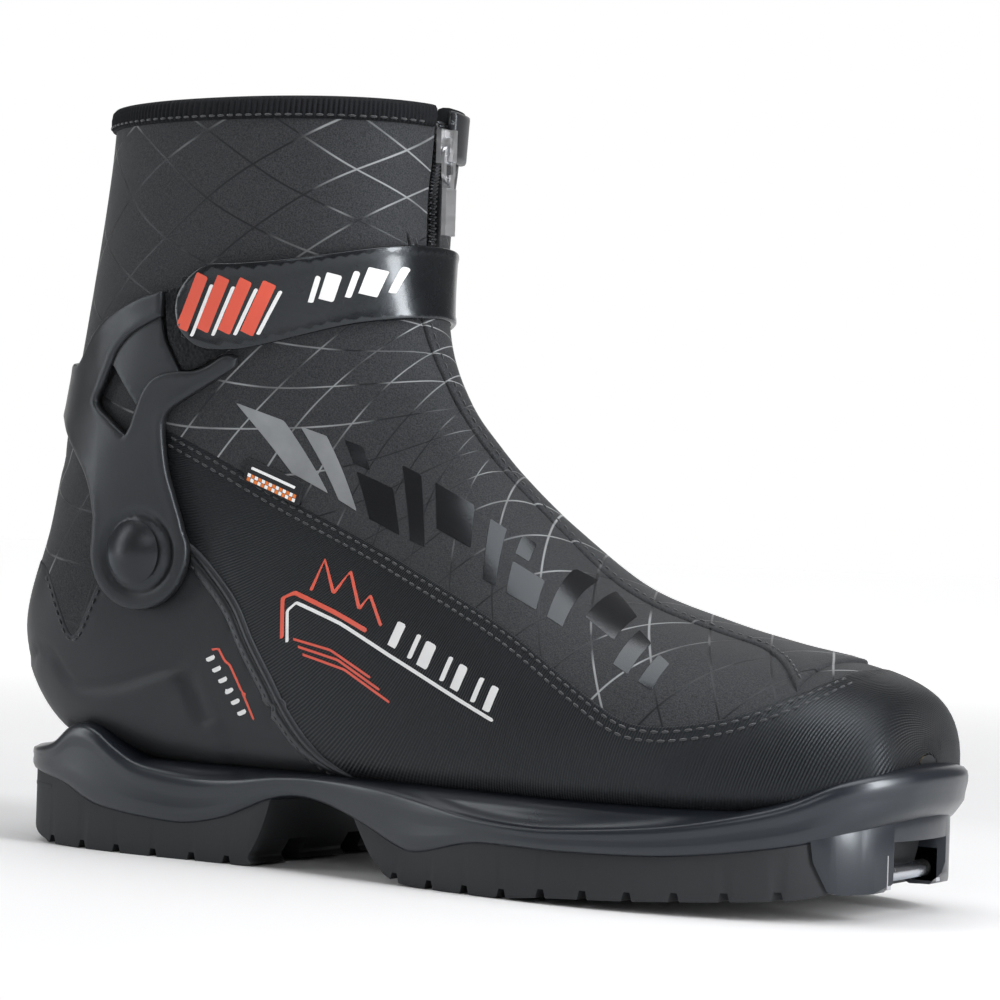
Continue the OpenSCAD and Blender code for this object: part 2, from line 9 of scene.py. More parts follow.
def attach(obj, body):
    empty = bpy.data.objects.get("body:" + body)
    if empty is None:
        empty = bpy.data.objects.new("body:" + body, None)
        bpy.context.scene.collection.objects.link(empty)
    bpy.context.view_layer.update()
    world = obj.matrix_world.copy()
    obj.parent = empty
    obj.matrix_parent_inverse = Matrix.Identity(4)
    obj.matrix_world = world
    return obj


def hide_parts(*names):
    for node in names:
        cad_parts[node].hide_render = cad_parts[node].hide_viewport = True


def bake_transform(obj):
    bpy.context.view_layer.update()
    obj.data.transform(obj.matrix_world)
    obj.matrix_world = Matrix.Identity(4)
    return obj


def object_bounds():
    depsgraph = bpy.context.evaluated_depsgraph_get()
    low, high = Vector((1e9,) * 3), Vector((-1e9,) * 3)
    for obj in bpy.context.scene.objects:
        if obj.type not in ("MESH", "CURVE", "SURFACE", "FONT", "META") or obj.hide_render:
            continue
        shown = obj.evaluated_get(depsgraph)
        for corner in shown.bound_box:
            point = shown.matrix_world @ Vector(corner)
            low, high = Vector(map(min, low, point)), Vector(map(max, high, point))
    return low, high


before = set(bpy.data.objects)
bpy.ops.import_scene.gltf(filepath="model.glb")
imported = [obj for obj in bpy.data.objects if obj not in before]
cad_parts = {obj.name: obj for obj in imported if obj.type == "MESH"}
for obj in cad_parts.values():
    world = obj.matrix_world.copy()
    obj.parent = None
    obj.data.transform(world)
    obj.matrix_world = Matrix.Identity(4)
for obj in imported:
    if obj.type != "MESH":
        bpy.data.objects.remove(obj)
cad_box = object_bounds()

# --- Studio ---------------------------------------------------------------------------------------
# A right boot stands on a pale table and is seen from its outer side, a little ahead of the toe.
# A large soft lamp hangs over it, strip lamps stand at its left and at the toe, a small one stands
# in front, and only the wall behind it is bright. The table's far part glows with painted light.
camera_away = 0.95
camera_round = radians(33)
camera_height = 0.103
camera = bpy.data.objects.new("camera", bpy.data.cameras.new("camera"))
bpy.context.scene.collection.objects.link(camera)
camera.data.lens = 118.15
camera.data.shift_x = 0.0365
camera.data.shift_y = 0.015
camera.location = (camera_away * sin(camera_round), -camera_away * cos(camera_round), camera_height)
camera.rotation_mode = "XYZ"
camera.rotation_euler = (pi / 2, 0, camera_round)
camera.rotation_euler.rotate_axis("Z", radians(1.8))
bpy.context.scene.camera = camera

world = bpy.data.worlds.new("room")
world.use_nodes = True
room = world.node_tree
backdrop = room.nodes["Background"]
backdrop.inputs["Color"].default_value = (1, 1, 1, 1)
toward_wall = (-0.54, 0.84, 0)
facing = room.nodes.new("ShaderNodeVectorMath")
facing.operation = "DOT_PRODUCT"
facing.inputs[1].default_value = toward_wall
room.links.new(room.nodes.new("ShaderNodeTexCoord").outputs["Generated"], facing.inputs[0])
fade = room.nodes.new("ShaderNodeMapRange")
fade.interpolation_type = "SMOOTHSTEP"
for socket, value in ((1, 0.72), (2, 0.96), (3, 0.14), (4, 1.0)):
    fade.inputs[socket].default_value = value
room.links.new(facing.outputs["Value"], fade.inputs[0])
room.links.new(fade.outputs[0], backdrop.inputs["Strength"])
bpy.context.scene.world = world
bpy.context.scene.view_settings.view_transform = "Standard"

lamp_target = Vector((0, 0, 0.1))
for name, place, size, power in [("lamp_over", (0.0, 0.0, 1.0), (1.3, 0.6), 7.5),
                                 ("lamp_left", (-0.9, -0.55, 0.45), (0.25, 0.9), 3.2),
                                 ("lamp_toe", (0.95, -0.15, 0.45), (0.22, 0.8), 12.0),
                                 ("lamp_front", (0.25, -1.1, 0.75), (0.5, 0.3), 1.6)]:
    light = bpy.data.lights.new(name, "AREA")
    light.shape = "RECTANGLE"
    light.size, light.size_y = size
    light.energy = power
    lamp = bpy.data.objects.new(name, light)
    bpy.context.scene.collection.objects.link(lamp)
    lamp.location = place
    lamp.rotation_euler = (lamp_target - Vector(place)).to_track_quat("-Z", "Y").to_euler()


def finish(name, colour, roughness, **sockets):
    """A new material, its node tree and its shader, with plain values on the shader."""
    material = bpy.data.materials.new(name)
    material.use_nodes = True
    shader = material.node_tree.nodes["Principled BSDF"]
    shader.inputs["Base Color"].default_value = (*colour, 1)
    shader.inputs["Roughness"].default_value = roughness
    shader.inputs["Specular Tint"].default_value = (0.84, 0.92, 1, 1)
    for socket, value in sockets.items():
        shader.inputs[socket.replace("_", " ")].default_value = value
    return material, material.node_tree, shader


def node(tree, kind, sockets=(), **settings):
    """Adds one node; sockets holds (input, value or output) pairs."""
    made = tree.nodes.new("ShaderNode" + kind)
    for key, value in settings.items():
        setattr(made, key, value)
    for key, value in sockets:
        if isinstance(value, bpy.types.NodeSocket):
            tree.links.new(value, made.inputs[key])
        else:
            made.inputs[key].default_value = value
    return made


def mix_colours(tree, amount, low, high):
    """A colour between low and high; each is a colour or an output."""
    made = tree.nodes.new("ShaderNodeMix")
    made.data_type = "RGBA"
    for socket, value in ((made.inputs[0], amount), (made.inputs[6], low), (made.inputs[7], high)):
        if isinstance(value, bpy.types.NodeSocket):
            tree.links.new(value, socket)
        elif isinstance(value, tuple):
            socket.default_value = (*value, 1)
        else:
            socket.default_value = value
    return made.outputs[2]


def maths(tree, operation, *values):
    """The output of a Math node; values are numbers or outputs."""
    made = node(tree, "Math", list(enumerate(values)), operation=operation)
    return made.outputs[0]


def own_place(tree):
    """The piece's own coordinates, in metres."""
    return tree.nodes.new("ShaderNodeTexCoord").outputs["Object"]


def noise(tree, scale, detail=3.0):
    """Soft noise over the piece, scale waves to the metre."""
    made = node(tree, "TexNoise", [("Vector", own_place(tree)), ("Scale", scale), ("Detail", detail),
                                   ("Roughness", 0.55)])
    return made.outputs["Fac"]


def cells(tree, scale):
    """Distance to the middle of the nearest cell, for grain, mesh and curled pile."""
    made = node(tree, "TexVoronoi", [("Vector", own_place(tree)), ("Scale", scale)])
    return made.outputs["Distance"]


def vary_colour(tree, shader, amount, low, high):
    """Base colour from low to high by an amount."""
    between = mix_colours(tree, amount, low, high)
    tree.links.new(between, shader.inputs["Base Color"])


def vary_roughness(tree, shader, amount, low, high, start=0, end=1):
    """Roughness from low to high while the amount goes from start to end."""
    spread = node(tree, "MapRange", [("Value", amount), (1, start), (2, end), (3, low), (4, high)])
    tree.links.new(spread.outputs[0], shader.inputs["Roughness"])


def raise_surface(tree, shader, height, distance, strength=1.0):
    """Bump of a height output, its distance in metres."""
    bump = node(tree, "Bump", [("Height", height), ("Distance", distance), ("Strength", strength)])
    if shader.inputs["Normal"].links:
        tree.links.new(shader.inputs["Normal"].links[0].from_socket, bump.inputs["Normal"])
    tree.links.new(bump.outputs[0], shader.inputs["Normal"])


table_top = bpy.data.meshes.new("table_top")
table_top.from_pydata([(-6, -6, 0), (6, -6, 0), (6, 6, 0), (-6, 6, 0)], [], [(0, 1, 2, 3)])
floor = bpy.data.objects.new("table_top", table_top)
bpy.context.scene.collection.objects.link(floor)
floor.location.z = cad_box[0][2] - 0.0002
pale, tree, shader = finish("pale_table", (0.86, 0.86, 0.87), 0.7)
vary_colour(tree, shader, noise(tree, 3), (0.8, 0.8, 0.81), (0.84, 0.84, 0.845))
# Painted light: the table glows by itself, not at all within 0.3 m of the middle and up to pale grey at 1.3 m
away = node(tree, "VectorMath", [(0, own_place(tree))], operation="LENGTH")
far_glow = node(tree, "MapRange", [("Value", away.outputs["Value"]), (1, 0.3), (2, 1.3), (3, 0), (4, 1)])
tree.links.new(mix_colours(tree, far_glow.outputs[0], (0, 0, 0), (0.8, 0.8, 0.8)),
               shader.inputs["Emission Color"])
shader.inputs["Emission Strength"].default_value = 1
table_top.materials.append(pale)

# --- Last -----------------------------------------------------------------------------------------
# Every panel of the upper is cut flat and pulled over a last, which isn't a piece itself. A row
# holds a section's lower and instep point in side view, middle, half widths to the outer and
# inner side, where it is widest, and how square it is below and above, all in millimetres.
LAST = np.array([
    [147.2, 33, 147.2, 43, 4, 6, 6, 0.45, 2.2, 2.2],
    [146.4, 27, 146.8, 53, 4, 21, 21, 0.45, 2.4, 2.3],
    [141, 24, 142, 60.5, 4, 30, 29, 0.42, 2.8, 2.3],
    [128, 23, 128, 66, 3, 38.5, 36.5, 0.38, 3.2, 2.3],
    [108, 23, 106, 70, 1, 44.5, 43, 0.34, 3.4, 2.2],
    [86, 23, 83, 75.5, 0, 48, 47, 0.32, 3.4, 2.1],
    [60, 23, 56, 84.5, 0, 48.5, 47, 0.3, 3.6, 2],
    [33, 23, 33, 100.5, 0, 45.5, 41, 0.28, 3.8, 1.9],
    [0, 23, 17, 114.5, 0, 41, 36.5, 0.24, 3.8, 1.85],
    [-45, 24, 8, 124, 0, 37, 35.5, 0.24, 3.6, 1.85],
    [-95, 25, 1, 132, 0, 35.5, 35.5, 0.26, 3.2, 1.9],
    [-134, 33, -4, 140, 0, 35.5, 35.5, 0.3, 2.6, 1.95],
    [-150, 59, -8, 148, 0, 36.5, 36.5, 0.32, 2.5, 2],
    [-143, 93, -11, 157, 0, 37, 37, 0.36, 2.3, 2.05],
    [-138, 123, -12.5, 168, 0, 38, 38, 0.4, 2.2, 2.1],
    [-132.5, 153, -13, 181, 0, 38.5, 38.5, 0.44, 2.2, 2.15],
    [-127.5, 181, -13, 196, 0, 39, 39, 0.46, 2.2, 2.2],
    [-124, 204, -12, 206, 0, 39.5, 39.5, 0.47, 2.2, 2.2],
    [-122.5, 222, -11, 222, 0, 40, 40, 0.48, 2.2, 2.2]])
end_row = len(LAST) - 1
rows = np.vstack([2 * LAST[0] - LAST[1], LAST, 2 * LAST[-1] - LAST[-2]])


def curve_between(a, b, c, d, t):
    """A smooth curve through b and c at t from 0 to 1, its slopes set by a and d."""
    return 0.5 * (2 * b + (c - a) * t + (2 * a - 5 * b + 4 * c - d) * t * t
                  + (3 * b - a - 3 * c + d) * t**3)


def section(s):
    """The row of the last at section s, which needn't be a whole number."""
    s = np.clip(s, 0, end_row)
    i = np.minimum(s.astype(int), end_row - 1)
    return curve_between(rows[i], rows[i + 1], rows[i + 2], rows[i + 3], (s - i)[..., None])


def skin(s, a):
    """Outer surface at section s and angle a: 0 under the heel, 90 outer side, 180 instep."""
    s, a = np.broadcast_arrays(np.asarray(s, float), np.asarray(a, float))
    r = np.moveaxis(section(s), -1, 0)
    c, q = np.cos(np.radians(a)), np.sin(np.radians(a))
    low = c >= 0
    n = np.where(low, r[8], r[9])
    across = np.abs(q) ** (2 / n)
    reach = np.abs(c) ** (2 / n)
    along = np.where(low, r[7] * (1 - reach), r[7] + (1 - r[7]) * reach)
    y = r[4] + np.where(q < 0, r[6], -r[5]) * across
    return np.stack([r[0] + (r[2] - r[0]) * along, y, r[1] + (r[3] - r[1]) * along], -1)


def outward(s, a):
    """Unit normals of the last."""
    s, a = np.broadcast_arrays(np.asarray(s, float), np.asarray(a, float))
    s = np.clip(s, 0, end_row)
    along = skin(np.minimum(s + 0.02, end_row), a) - skin(np.maximum(s - 0.02, 0), a)
    n = np.cross(skin(s, a + 0.6) - skin(s, a - 0.6), along)
    return n / np.linalg.norm(n, axis=-1, keepdims=True)


def over_last(s, a, proud=0.0):
    """A point proud of the last by so many millimetres; proud is negative under the surface."""
    proud = np.asarray(proud, float)
    return skin(s, a) + proud[..., None] * outward(s, a)


# Arc lengths round each section, so that cloth keeps its scale all over the boot
angles = np.concatenate([np.linspace(0, 1, 12)[:-1] ** 2 * 6, np.linspace(6, 174, 169),
                         180 - np.linspace(1, 0, 12)[1:] ** 2 * 6])
table_s = np.linspace(0, end_row, 18 * 16 + 1)
rounds = {}
for side in (1, -1):
    grid = skin(table_s[:, None], side * angles[None, :])
    steps = np.linalg.norm(np.diff(grid, axis=1), axis=2)
    rounds[side] = np.hstack([np.zeros((len(table_s), 1)), np.cumsum(steps, axis=1)])
mid_line = skin(table_s, 120.0)
along_s = np.concatenate([[0], np.cumsum(np.linalg.norm(np.diff(mid_line, axis=0), axis=1))])


def row_mix(table, s):
    """Rows of a table of the last's sections, mixed for sections between them."""
    x = np.clip(s, 0, end_row) * 16
    i = np.minimum(x.astype(int), len(table_s) - 2)
    return table[i] * (1 - (x - i))[:, None] + table[i + 1] * (x - i)[:, None]


def to_cloth(s, a, middle):
    """Flat place of points on the last, measured from the back (0) or the instep (180)."""
    s, a = np.asarray(s, float), np.asarray(a, float)
    v = np.empty_like(s)
    signed = np.where(a > 180, a - 360, a) if middle == 180 else a
    for side in (1, -1):
        own = (signed >= 0) == (side > 0)
        if own.any():
            table = row_mix(rounds[side], s[own])
            found = np.array([np.interp(abs(x), angles, t) for x, t in zip(signed[own], table)])
            v[own] = side * (found if middle == 0 else found - table[:, -1])
    return np.stack([np.interp(s, table_s, along_s), v], -1)


def from_cloth(uv, middle):
    """Section and angle of flat points; the way back from to_cloth."""
    s = np.interp(uv[:, 0], along_s, table_s)
    a = np.empty_like(s)
    for side in (1, -1):
        own = (uv[:, 1] * side >= 0) if middle == 0 else (uv[:, 1] * side < 0)
        own = own if side > 0 or middle == 0 else (uv[:, 1] >= 0)
        if own.any():
            table = row_mix(rounds[side], s[own])
            v = np.abs(uv[own, 1])
            v = v if middle == 0 else table[:, -1] - v
            found = np.array([np.interp(x, t, angles) for x, t in zip(v, table)])
            a[own] = side * found
    return s, (np.where(a < 0, a + 360, a) if middle == 180 else a)


look_s, look_a = np.meshgrid(np.linspace(0, end_row, 361), np.linspace(0.5, 179.5, 180),
                             indexing="ij")
look = skin(look_s, look_a)[..., [0, 2]].reshape(-1, 2)
look_s, look_a = look_s.ravel(), look_a.ravel()
finder = kdtree.KDTree(len(look))
for i, p in enumerate(look):
    finder.insert((p[0], p[1], 0), i)
finder.balance()


def on_side(points, side=1):
    """Section and angle of points given in side view; side is 1 for the outer, -1 the inner."""
    points = np.asarray(points, float)
    found = [finder.find((p[0], p[1], 0))[1] for p in points]
    s, a = look_s[found].copy(), look_a[found].copy()
    for _ in range(8):
        here = skin(s, a)[:, [0, 2]]
        ds = (skin(s + 0.01, a)[:, [0, 2]] - here) / 0.01
        da = (skin(s, a + 0.1)[:, [0, 2]] - here) / 0.1
        gap = points - here
        det = ds[:, 0] * da[:, 1] - ds[:, 1] * da[:, 0]
        det = np.where(np.abs(det) < 1e-4, 1e-4, det)
        move_s = (gap[:, 0] * da[:, 1] - gap[:, 1] * da[:, 0]) / det
        move_a = (ds[:, 0] * gap[:, 1] - ds[:, 1] * gap[:, 0]) / det
        s = np.clip(s + np.clip(move_s, -0.3, 0.3), 0, end_row - 0.011)
        a = np.clip(a + np.clip(move_a, -4, 4), 0.2, 179.8)
    return s, a * side


def smooth_line(points, step):
    """A rounded line through side-view points, cut every step millimetres."""
    p = np.asarray(points, float)
    p = np.vstack([2 * p[0] - p[1], p, 2 * p[-1] - p[-2]])
    t = np.linspace(0, 1, 13)[:-1][:, None]
    dense = np.vstack([curve_between(p[i], p[i + 1], p[i + 2], p[i + 3], t)
                       for i in range(len(p) - 3)] + [p[-2:-1]])
    return even_line(dense, step)


def even_line(dense, step):
    """The same line with its points about one step apart."""
    length = np.concatenate([[0], np.cumsum(np.linalg.norm(np.diff(dense, axis=0), axis=1))])
    n = max(2, int(round(length[-1] / step)) + 1)
    at = np.linspace(0, length[-1], n)
    return np.stack([np.interp(at, length, dense[:, k]) for k in range(dense.shape[1])], -1)


def inside(points, ring):
    """Which flat points lie inside a closed ring."""
    x, y = points[:, 0], points[:, 1]
    hit = np.zeros(len(points), bool)
    for p, q in zip(ring, np.roll(ring, -1, axis=0)):
        if p[1] != q[1]:
            crosses = ((p[1] > y) != (q[1] > y)) & (x < (q[0] - p[0]) * (y - p[1]) / (q[1] - p[1]) + p[0])
            hit ^= crosses
    return hit


def new_piece(name, points, faces, material, uv=None, smooth=True):
    """A mesh object from points in millimetres, with optional flat places in millimetres."""
    mesh = bpy.data.meshes.new(name)
    mesh.from_pydata((np.asarray(points, float) / 1000).tolist(), [], [tuple(map(int, f)) for f in faces])
    mesh.materials.append(material)
    if uv is not None:
        layer = mesh.uv_layers.new(name="cloth")
        corner = np.empty(len(mesh.loops), np.int32)
        mesh.loops.foreach_get("vertex_index", corner)
        layer.data.foreach_set("uv", (np.asarray(uv)[corner] / 1000).ravel())
    mesh.polygons.foreach_set("use_smooth", [smooth] * len(mesh.polygons))
    mesh.validate()
    made = bpy.data.objects.new(name, mesh)
    bpy.context.scene.collection.objects.link(made)
    return made


def sideways(uv, middle, closed=False):
    """The flat steps that move a line's points 1 mm square to it on the last."""
    s, a = from_cloth(uv, middle)
    here = over_last(s, a)
    along = np.roll(here, -1, axis=0) - np.roll(here, 1, axis=0) if closed else np.gradient(here, axis=0)
    square = np.cross(outward(s, a), along)
    square /= np.linalg.norm(square, axis=1, keepdims=True)
    by = [over_last(*from_cloth(uv + d, middle)) - over_last(*from_cloth(uv - d, middle))
          for d in (np.array([0.5, 0]), np.array([0, 0.5]))]
    uu, mixed, vv = (by[0]**2).sum(1), (by[0] * by[1]).sum(1), (by[1]**2).sum(1)
    pu, pv = (square * by[0]).sum(1), (square * by[1]).sum(1)
    det = np.maximum(uu * vv - mixed**2, 1e-3)
    return np.stack([(pu * vv - pv * mixed) / det, (pv * uu - pu * mixed) / det], -1)


def beside(s, a, distance, middle=180):
    """The line moved square to itself on the last, to the left seen from outside."""
    uv = to_cloth(s, a, middle)
    return from_cloth(uv + distance * sideways(uv, middle), middle)


def cut_panel(name, outline, material, proud, under, middle=180, grid=2.4, step=1.4, turn=0.8,
              drop=0.8, relief=None, backed=False, lift=None):
    """A panel pulled over the last: outline holds (section, angle) points in order round it.
    Its face stands proud, its edge turns down by drop over the last turn millimetres, and its
    rim reaches to under. relief(points, s, a, far) adds height, far from the edge; lift raises both
    faces, and backed closes the inner side."""
    ring_s, ring_a = np.asarray(outline, float).T
    ring = over_last(ring_s, ring_a)
    ring_uv = to_cloth(ring_s, ring_a, middle)
    both = even_line(np.hstack([np.vstack([ring, ring[:1]]), np.vstack([ring_uv, ring_uv[:1]])]), step)[:-1]
    ring_uv = both[:, 3:]
    n = len(ring_uv)
    next_uv = np.roll(ring_uv, -1, axis=0)
    area = 0.5 * np.sum(ring_uv[:, 0] * next_uv[:, 1] - ring_uv[:, 1] * next_uv[:, 0])
    if area < 0:
        ring_uv = ring_uv[::-1]
    rs, ra = from_cloth(ring_uv, middle)
    edge = over_last(rs, ra)
    tree3 = kdtree.KDTree(len(edge))
    for i, p in enumerate(edge):
        tree3.insert(p, i)
    tree3.balance()
    shift = sideways(ring_uv, middle, True)
    test = ring_uv + shift * 0.3
    if inside(test, ring_uv).mean() < 0.5:
        shift = -shift
    extra = []
    for share in (0.22, 0.55, 1.0):
        loop = ring_uv + shift * turn * share
        where = over_last(*from_cloth(loop, middle))
        far = np.array([tree3.find(p)[2] for p in where])
        extra.append(loop[(far > 0.8 * turn * share) & inside(loop, ring_uv)])
    lo, hi = ring_uv.min(0), ring_uv.max(0)
    gu = np.arange(lo[0], hi[0], grid)
    gv = np.arange(lo[1], hi[1], grid * 0.9)
    mesh_u, mesh_v = np.meshgrid(gu, gv, indexing="ij")
    mesh_u = mesh_u + (np.arange(len(gv)) % 2)[None, :] * grid / 2
    field = np.stack([mesh_u.ravel(), mesh_v.ravel()], -1)
    field = field[inside(field, ring_uv)]
    where = over_last(*from_cloth(field, middle))
    far = np.array([tree3.find(p)[2] for p in where])
    field = field[far > turn + 0.35 * grid]
    every = np.vstack([ring_uv] + extra + [field])
    edges = [(i, (i + 1) % n) for i in range(n)]
    got = geometry.delaunay_2d_cdt([Vector(p) for p in every], edges, [], 0, 1e-5)
    uv = np.array([tuple(p) for p in got[0]])
    tris = np.array([f for f in got[2] if len(f) == 3])
    tris = tris[inside(uv[tris].mean(axis=1), ring_uv)]
    s, a = from_cloth(uv, middle)
    base = over_last(s, a)
    far = np.array([tree3.find(p)[2] for p in base])
    t = np.clip(far / turn, 0, 1)
    height = proud - drop * (1 - np.sqrt(np.clip(1 - (1 - t) ** 2, 0, 1)))
    if relief is not None:
        height = height + relief(base, s, a, far) * t
    raised = np.zeros(len(base)) if lift is None else lift(base, s, a)
    top = base + (height + raised)[:, None] * outward(s, a)
    count = {}
    for f in tris:
        for k in range(3):
            count[(f[k], f[(k + 1) % 3])] = 1
    rim = [(p, q) for p, q in count if (q, p) not in count]
    face_n = np.cross(top[tris[:, 1]] - top[tris[:, 0]], top[tris[:, 2]] - top[tris[:, 0]])
    flip = (face_n * outward(s, a)[tris[:, 0]]).sum() < 0
    low = base + (under + raised)[:, None] * outward(s, a)
    m = len(top)
    if backed:
        points = np.vstack([top, low])
        faces = [tuple(f) for f in tris] + [(f[0] + m, f[2] + m, f[1] + m) for f in tris]
        faces += [(p, p + m, q + m, q) for p, q in rim]
        uvs = np.vstack([uv, uv])
    else:
        ids = sorted({i for e in rim for i in e})
        where_id = {i: m + k for k, i in enumerate(ids)}
        points = np.vstack([top, low[ids]])
        faces = [tuple(f) for f in tris] + [(p, where_id[p], where_id[q], q) for p, q in rim]
        uvs = np.vstack([uv, uv[ids]])
    if flip:
        faces = [f[::-1] for f in faces]
    made = new_piece(name, points, faces, material, uvs)
    made["face_points"] = m
    return made


def ribbon(name, s, a, shape, material, middle=180, closed=False, ends=True):
    """A strip along a line on the last; shape holds (sideways, proud) pairs of its outline."""
    uv = to_cloth(s, a, middle)
    step = sideways(uv, middle, closed)
    lines = [over_last(*from_cloth(uv + across * step, middle), np.full(len(s), float(proud)))
             for across, proud in shape]
    n, k = len(s), len(shape)
    points = np.stack(lines, 1).reshape(-1, 3)
    faces = [(i * k + j, ((i + 1) % n) * k + j, ((i + 1) % n) * k + (j + 1) % k, i * k + (j + 1) % k)
             for i in range(n if closed else n - 1) for j in range(k)]
    if ends and not closed:
        faces += [tuple(range(k)), tuple(range(n * k - 1, n * k - k - 1, -1))]
    run = np.concatenate([[0], np.cumsum(np.linalg.norm(np.diff(lines[0], axis=0), axis=1))])
    flat = np.stack([np.repeat(run, k), np.tile([x for x, _ in shape], n)], -1)
    made = new_piece(name, points, faces, material, flat)
    outward_faces(made)
    return made


def outward_faces(piece):
    """Turns the faces of a closed piece outwards."""
    work = bmesh.new()
    work.from_mesh(piece.data)
    bmesh.ops.recalc_face_normals(work, faces=work.faces)
    work.to_mesh(piece.data)
    work.free()


def stitches(name, lines, material, proud=0.1, length=2.3, gap=0.8, wide=0.36):
    """Rows of sewn thread: each line is (points, outward directions) in millimetres."""
    points, faces = [], []
    profile = [(-0.5, 0.15, -0.5), (-0.38, 0.8, -0.05), (-0.15, 1, 0.22), (0.15, 1, 0.22),
               (0.38, 0.8, -0.05), (0.5, 0.15, -0.5)]
    sides = 6
    for line, up in lines:
        run = np.concatenate([[0], np.cumsum(np.linalg.norm(np.diff(line, axis=0), axis=1))])
        for at in np.arange(gap + length / 2, run[-1] - length / 2, length + gap):
            def place(x):
                return np.array([np.interp(x, run, line[:, k]) for k in range(3)])
            here = place(at)
            along = place(at + 0.4 * length) - place(at - 0.4 * length)
            along /= np.linalg.norm(along)
            n = np.array([np.interp(at, run, up[:, k]) for k in range(3)])
            n -= along * (n @ along)
            n /= np.linalg.norm(n)
            across = np.cross(n, along)
            start = len(points)
            for shift, size, lift in profile:
                centre = here + along * length * shift + n * (proud + lift * wide)
                for k in range(sides):
                    w = tau * k / sides
                    points.append(centre + (across * cos(w) + n * sin(w)) * wide * size)
            for r in range(len(profile) - 1):
                for k in range(sides):
                    a, b = start + r * sides + k, start + r * sides + (k + 1) % sides
                    faces.append((a, b, b + sides, a + sides))
            faces.append(tuple(start + k for k in range(sides - 1, -1, -1)))
            faces.append(tuple(start + (len(profile) - 1) * sides + k for k in range(sides)))
    return new_piece(name, points, faces, material)


def on_cloth(s, a, proud=0.0):
    """A line's points and their outward directions, for stitches."""
    return over_last(s, a, np.full(len(s), float(proud))), outward(s, a)


# --- Sole frame -----------------------------------------------------------------------------------
# A stiff frame moulded in blue-black polyurethane carries the whole boot. It's drawn in plan,
# with a rounded lip against the upper, a bulging wall, and a high arch under the waist.
PLAN = [(-147, 0), (-144.5, -15), (-135, -27.5), (-118, -34.5), (-92, -37.2), (-60, -37),
        (-25, -39), (5, -43), (35, -48), (60, -50.6), (84, -50), (105, -46.3), (125, -39.5),
        (139, -29), (147.3, -14), (150, 3), (147.8, 19), (140, 31.5), (126, 40), (106, 46),
        (84, 49.8), (62, 50.6), (36, 45), (8, 38.5), (-25, 36), (-60, 36.5), (-92, 37.2),
        (-118, 34.5), (-135, 27.5), (-144.5, 15)]
FRAME_TOP = smooth_line([(-152, 28), (-136, 29), (-125, 31), (-116, 36.5), (-107, 36), (-98, 31),
                         (-88, 26.8), (-70, 24.6), (-55, 25), (-37, 27), (-19, 27.6), (0, 26.6),
                         (17, 24.3), (34, 21.8), (50, 20.6), (66, 20.8), (98, 24), (125, 30),
                         (138, 36.4), (145, 39.2), (152, 41)], 2)
FRAME_LOW = smooth_line([(-152, 23), (-122, 19), (-105, 13), (-80, 10.3), (-68, 10.5), (-55, 13.5),
                         (-41, 19), (-30, 21), (-19, 19.8), (-5, 15.5), (9, 10), (17, 9.4),
                         (34, 13.3), (46, 14), (67, 13.9), (98, 15), (126, 18.8), (142, 23),
                         (152, 27)], 2)


def top_of_frame(x):
    """Height of the frame's upper lip at x."""
    return np.interp(x, FRAME_TOP[:, 0], FRAME_TOP[:, 1])


def foot_of_frame(x):
    """Height of the frame's lower edge at x."""
    return np.interp(x, FRAME_LOW[:, 0], FRAME_LOW[:, 1])


plan = np.array(PLAN + PLAN[:1], float)
wrapped = np.vstack([plan[-2:-1], plan, plan[1:2]])
dense_plan = np.vstack([curve_between(wrapped[i], wrapped[i + 1], wrapped[i + 2], wrapped[i + 3],
                                      np.linspace(0, 1, 25)[:-1][:, None]) for i in range(len(PLAN))])
sole_plan = even_line(np.vstack([dense_plan, dense_plan[:1]]), 1.6)[:-1]
plan_run = np.roll(sole_plan, -1, axis=0) - np.roll(sole_plan, 1, axis=0)
plan_out = np.stack([plan_run[:, 1], -plan_run[:, 0]], -1)
plan_out /= np.linalg.norm(plan_out, axis=1, keepdims=True)


def sole_wall(name, levels, material):
    """A closed wall round the sole; levels give (inset, height) arrays from one rim to the other."""
    n, k = len(sole_plan), len(levels)
    points = np.empty((k, n, 3))
    for j, (inset, z) in enumerate(levels):
        points[j, :, :2] = sole_plan - plan_out * np.broadcast_to(inset, n)[:, None]
        points[j, :, 2] = z
    faces = [(j * n + i, j * n + (i + 1) % n, (j + 1) * n + (i + 1) % n, (j + 1) * n + i)
             for j in range(k - 1) for i in range(n)]
    faces += [((k - 1) * n + i, (k - 1) * n + (i + 1) % n, (i + 1) % n, i) for i in range(n)]
    made = new_piece(name, points.reshape(-1, 3), faces, material)
    outward_faces(made)
    return made


def box_cutter(low, high):
    """A box in millimetres for cutting; it is removed once it has cut."""
    work = bmesh.new()
    bmesh.ops.create_cube(work, size=1)
    for v in work.verts:
        v.co = Vector([(lo if c < 0 else hi) / 1000 for c, lo, hi in zip(v.co, low, high)])
    mesh = bpy.data.meshes.new("cutter")
    work.to_mesh(mesh)
    work.free()
    made = bpy.data.objects.new("cutter", mesh)
    bpy.context.scene.collection.objects.link(made)
    return made


def carve(piece, operation, *cutters):
    """Cuts a piece by others, or keeps what they share; the others are removed."""
    for cutter in cutters:
        cut = piece.modifiers.new("carve", "BOOLEAN")
        cut.operation, cut.solver, cut.object = operation, "EXACT", cutter
    apply_all(piece)
    for cutter in cutters:
        bpy.data.objects.remove(cutter)


def apply_all(piece):
    """Turns a piece's modifiers into its mesh."""
    bpy.context.view_layer.update()
    made = bpy.data.meshes.new_from_object(piece.evaluated_get(bpy.context.evaluated_depsgraph_get()))
    piece.modifiers.clear()
    piece.data = made


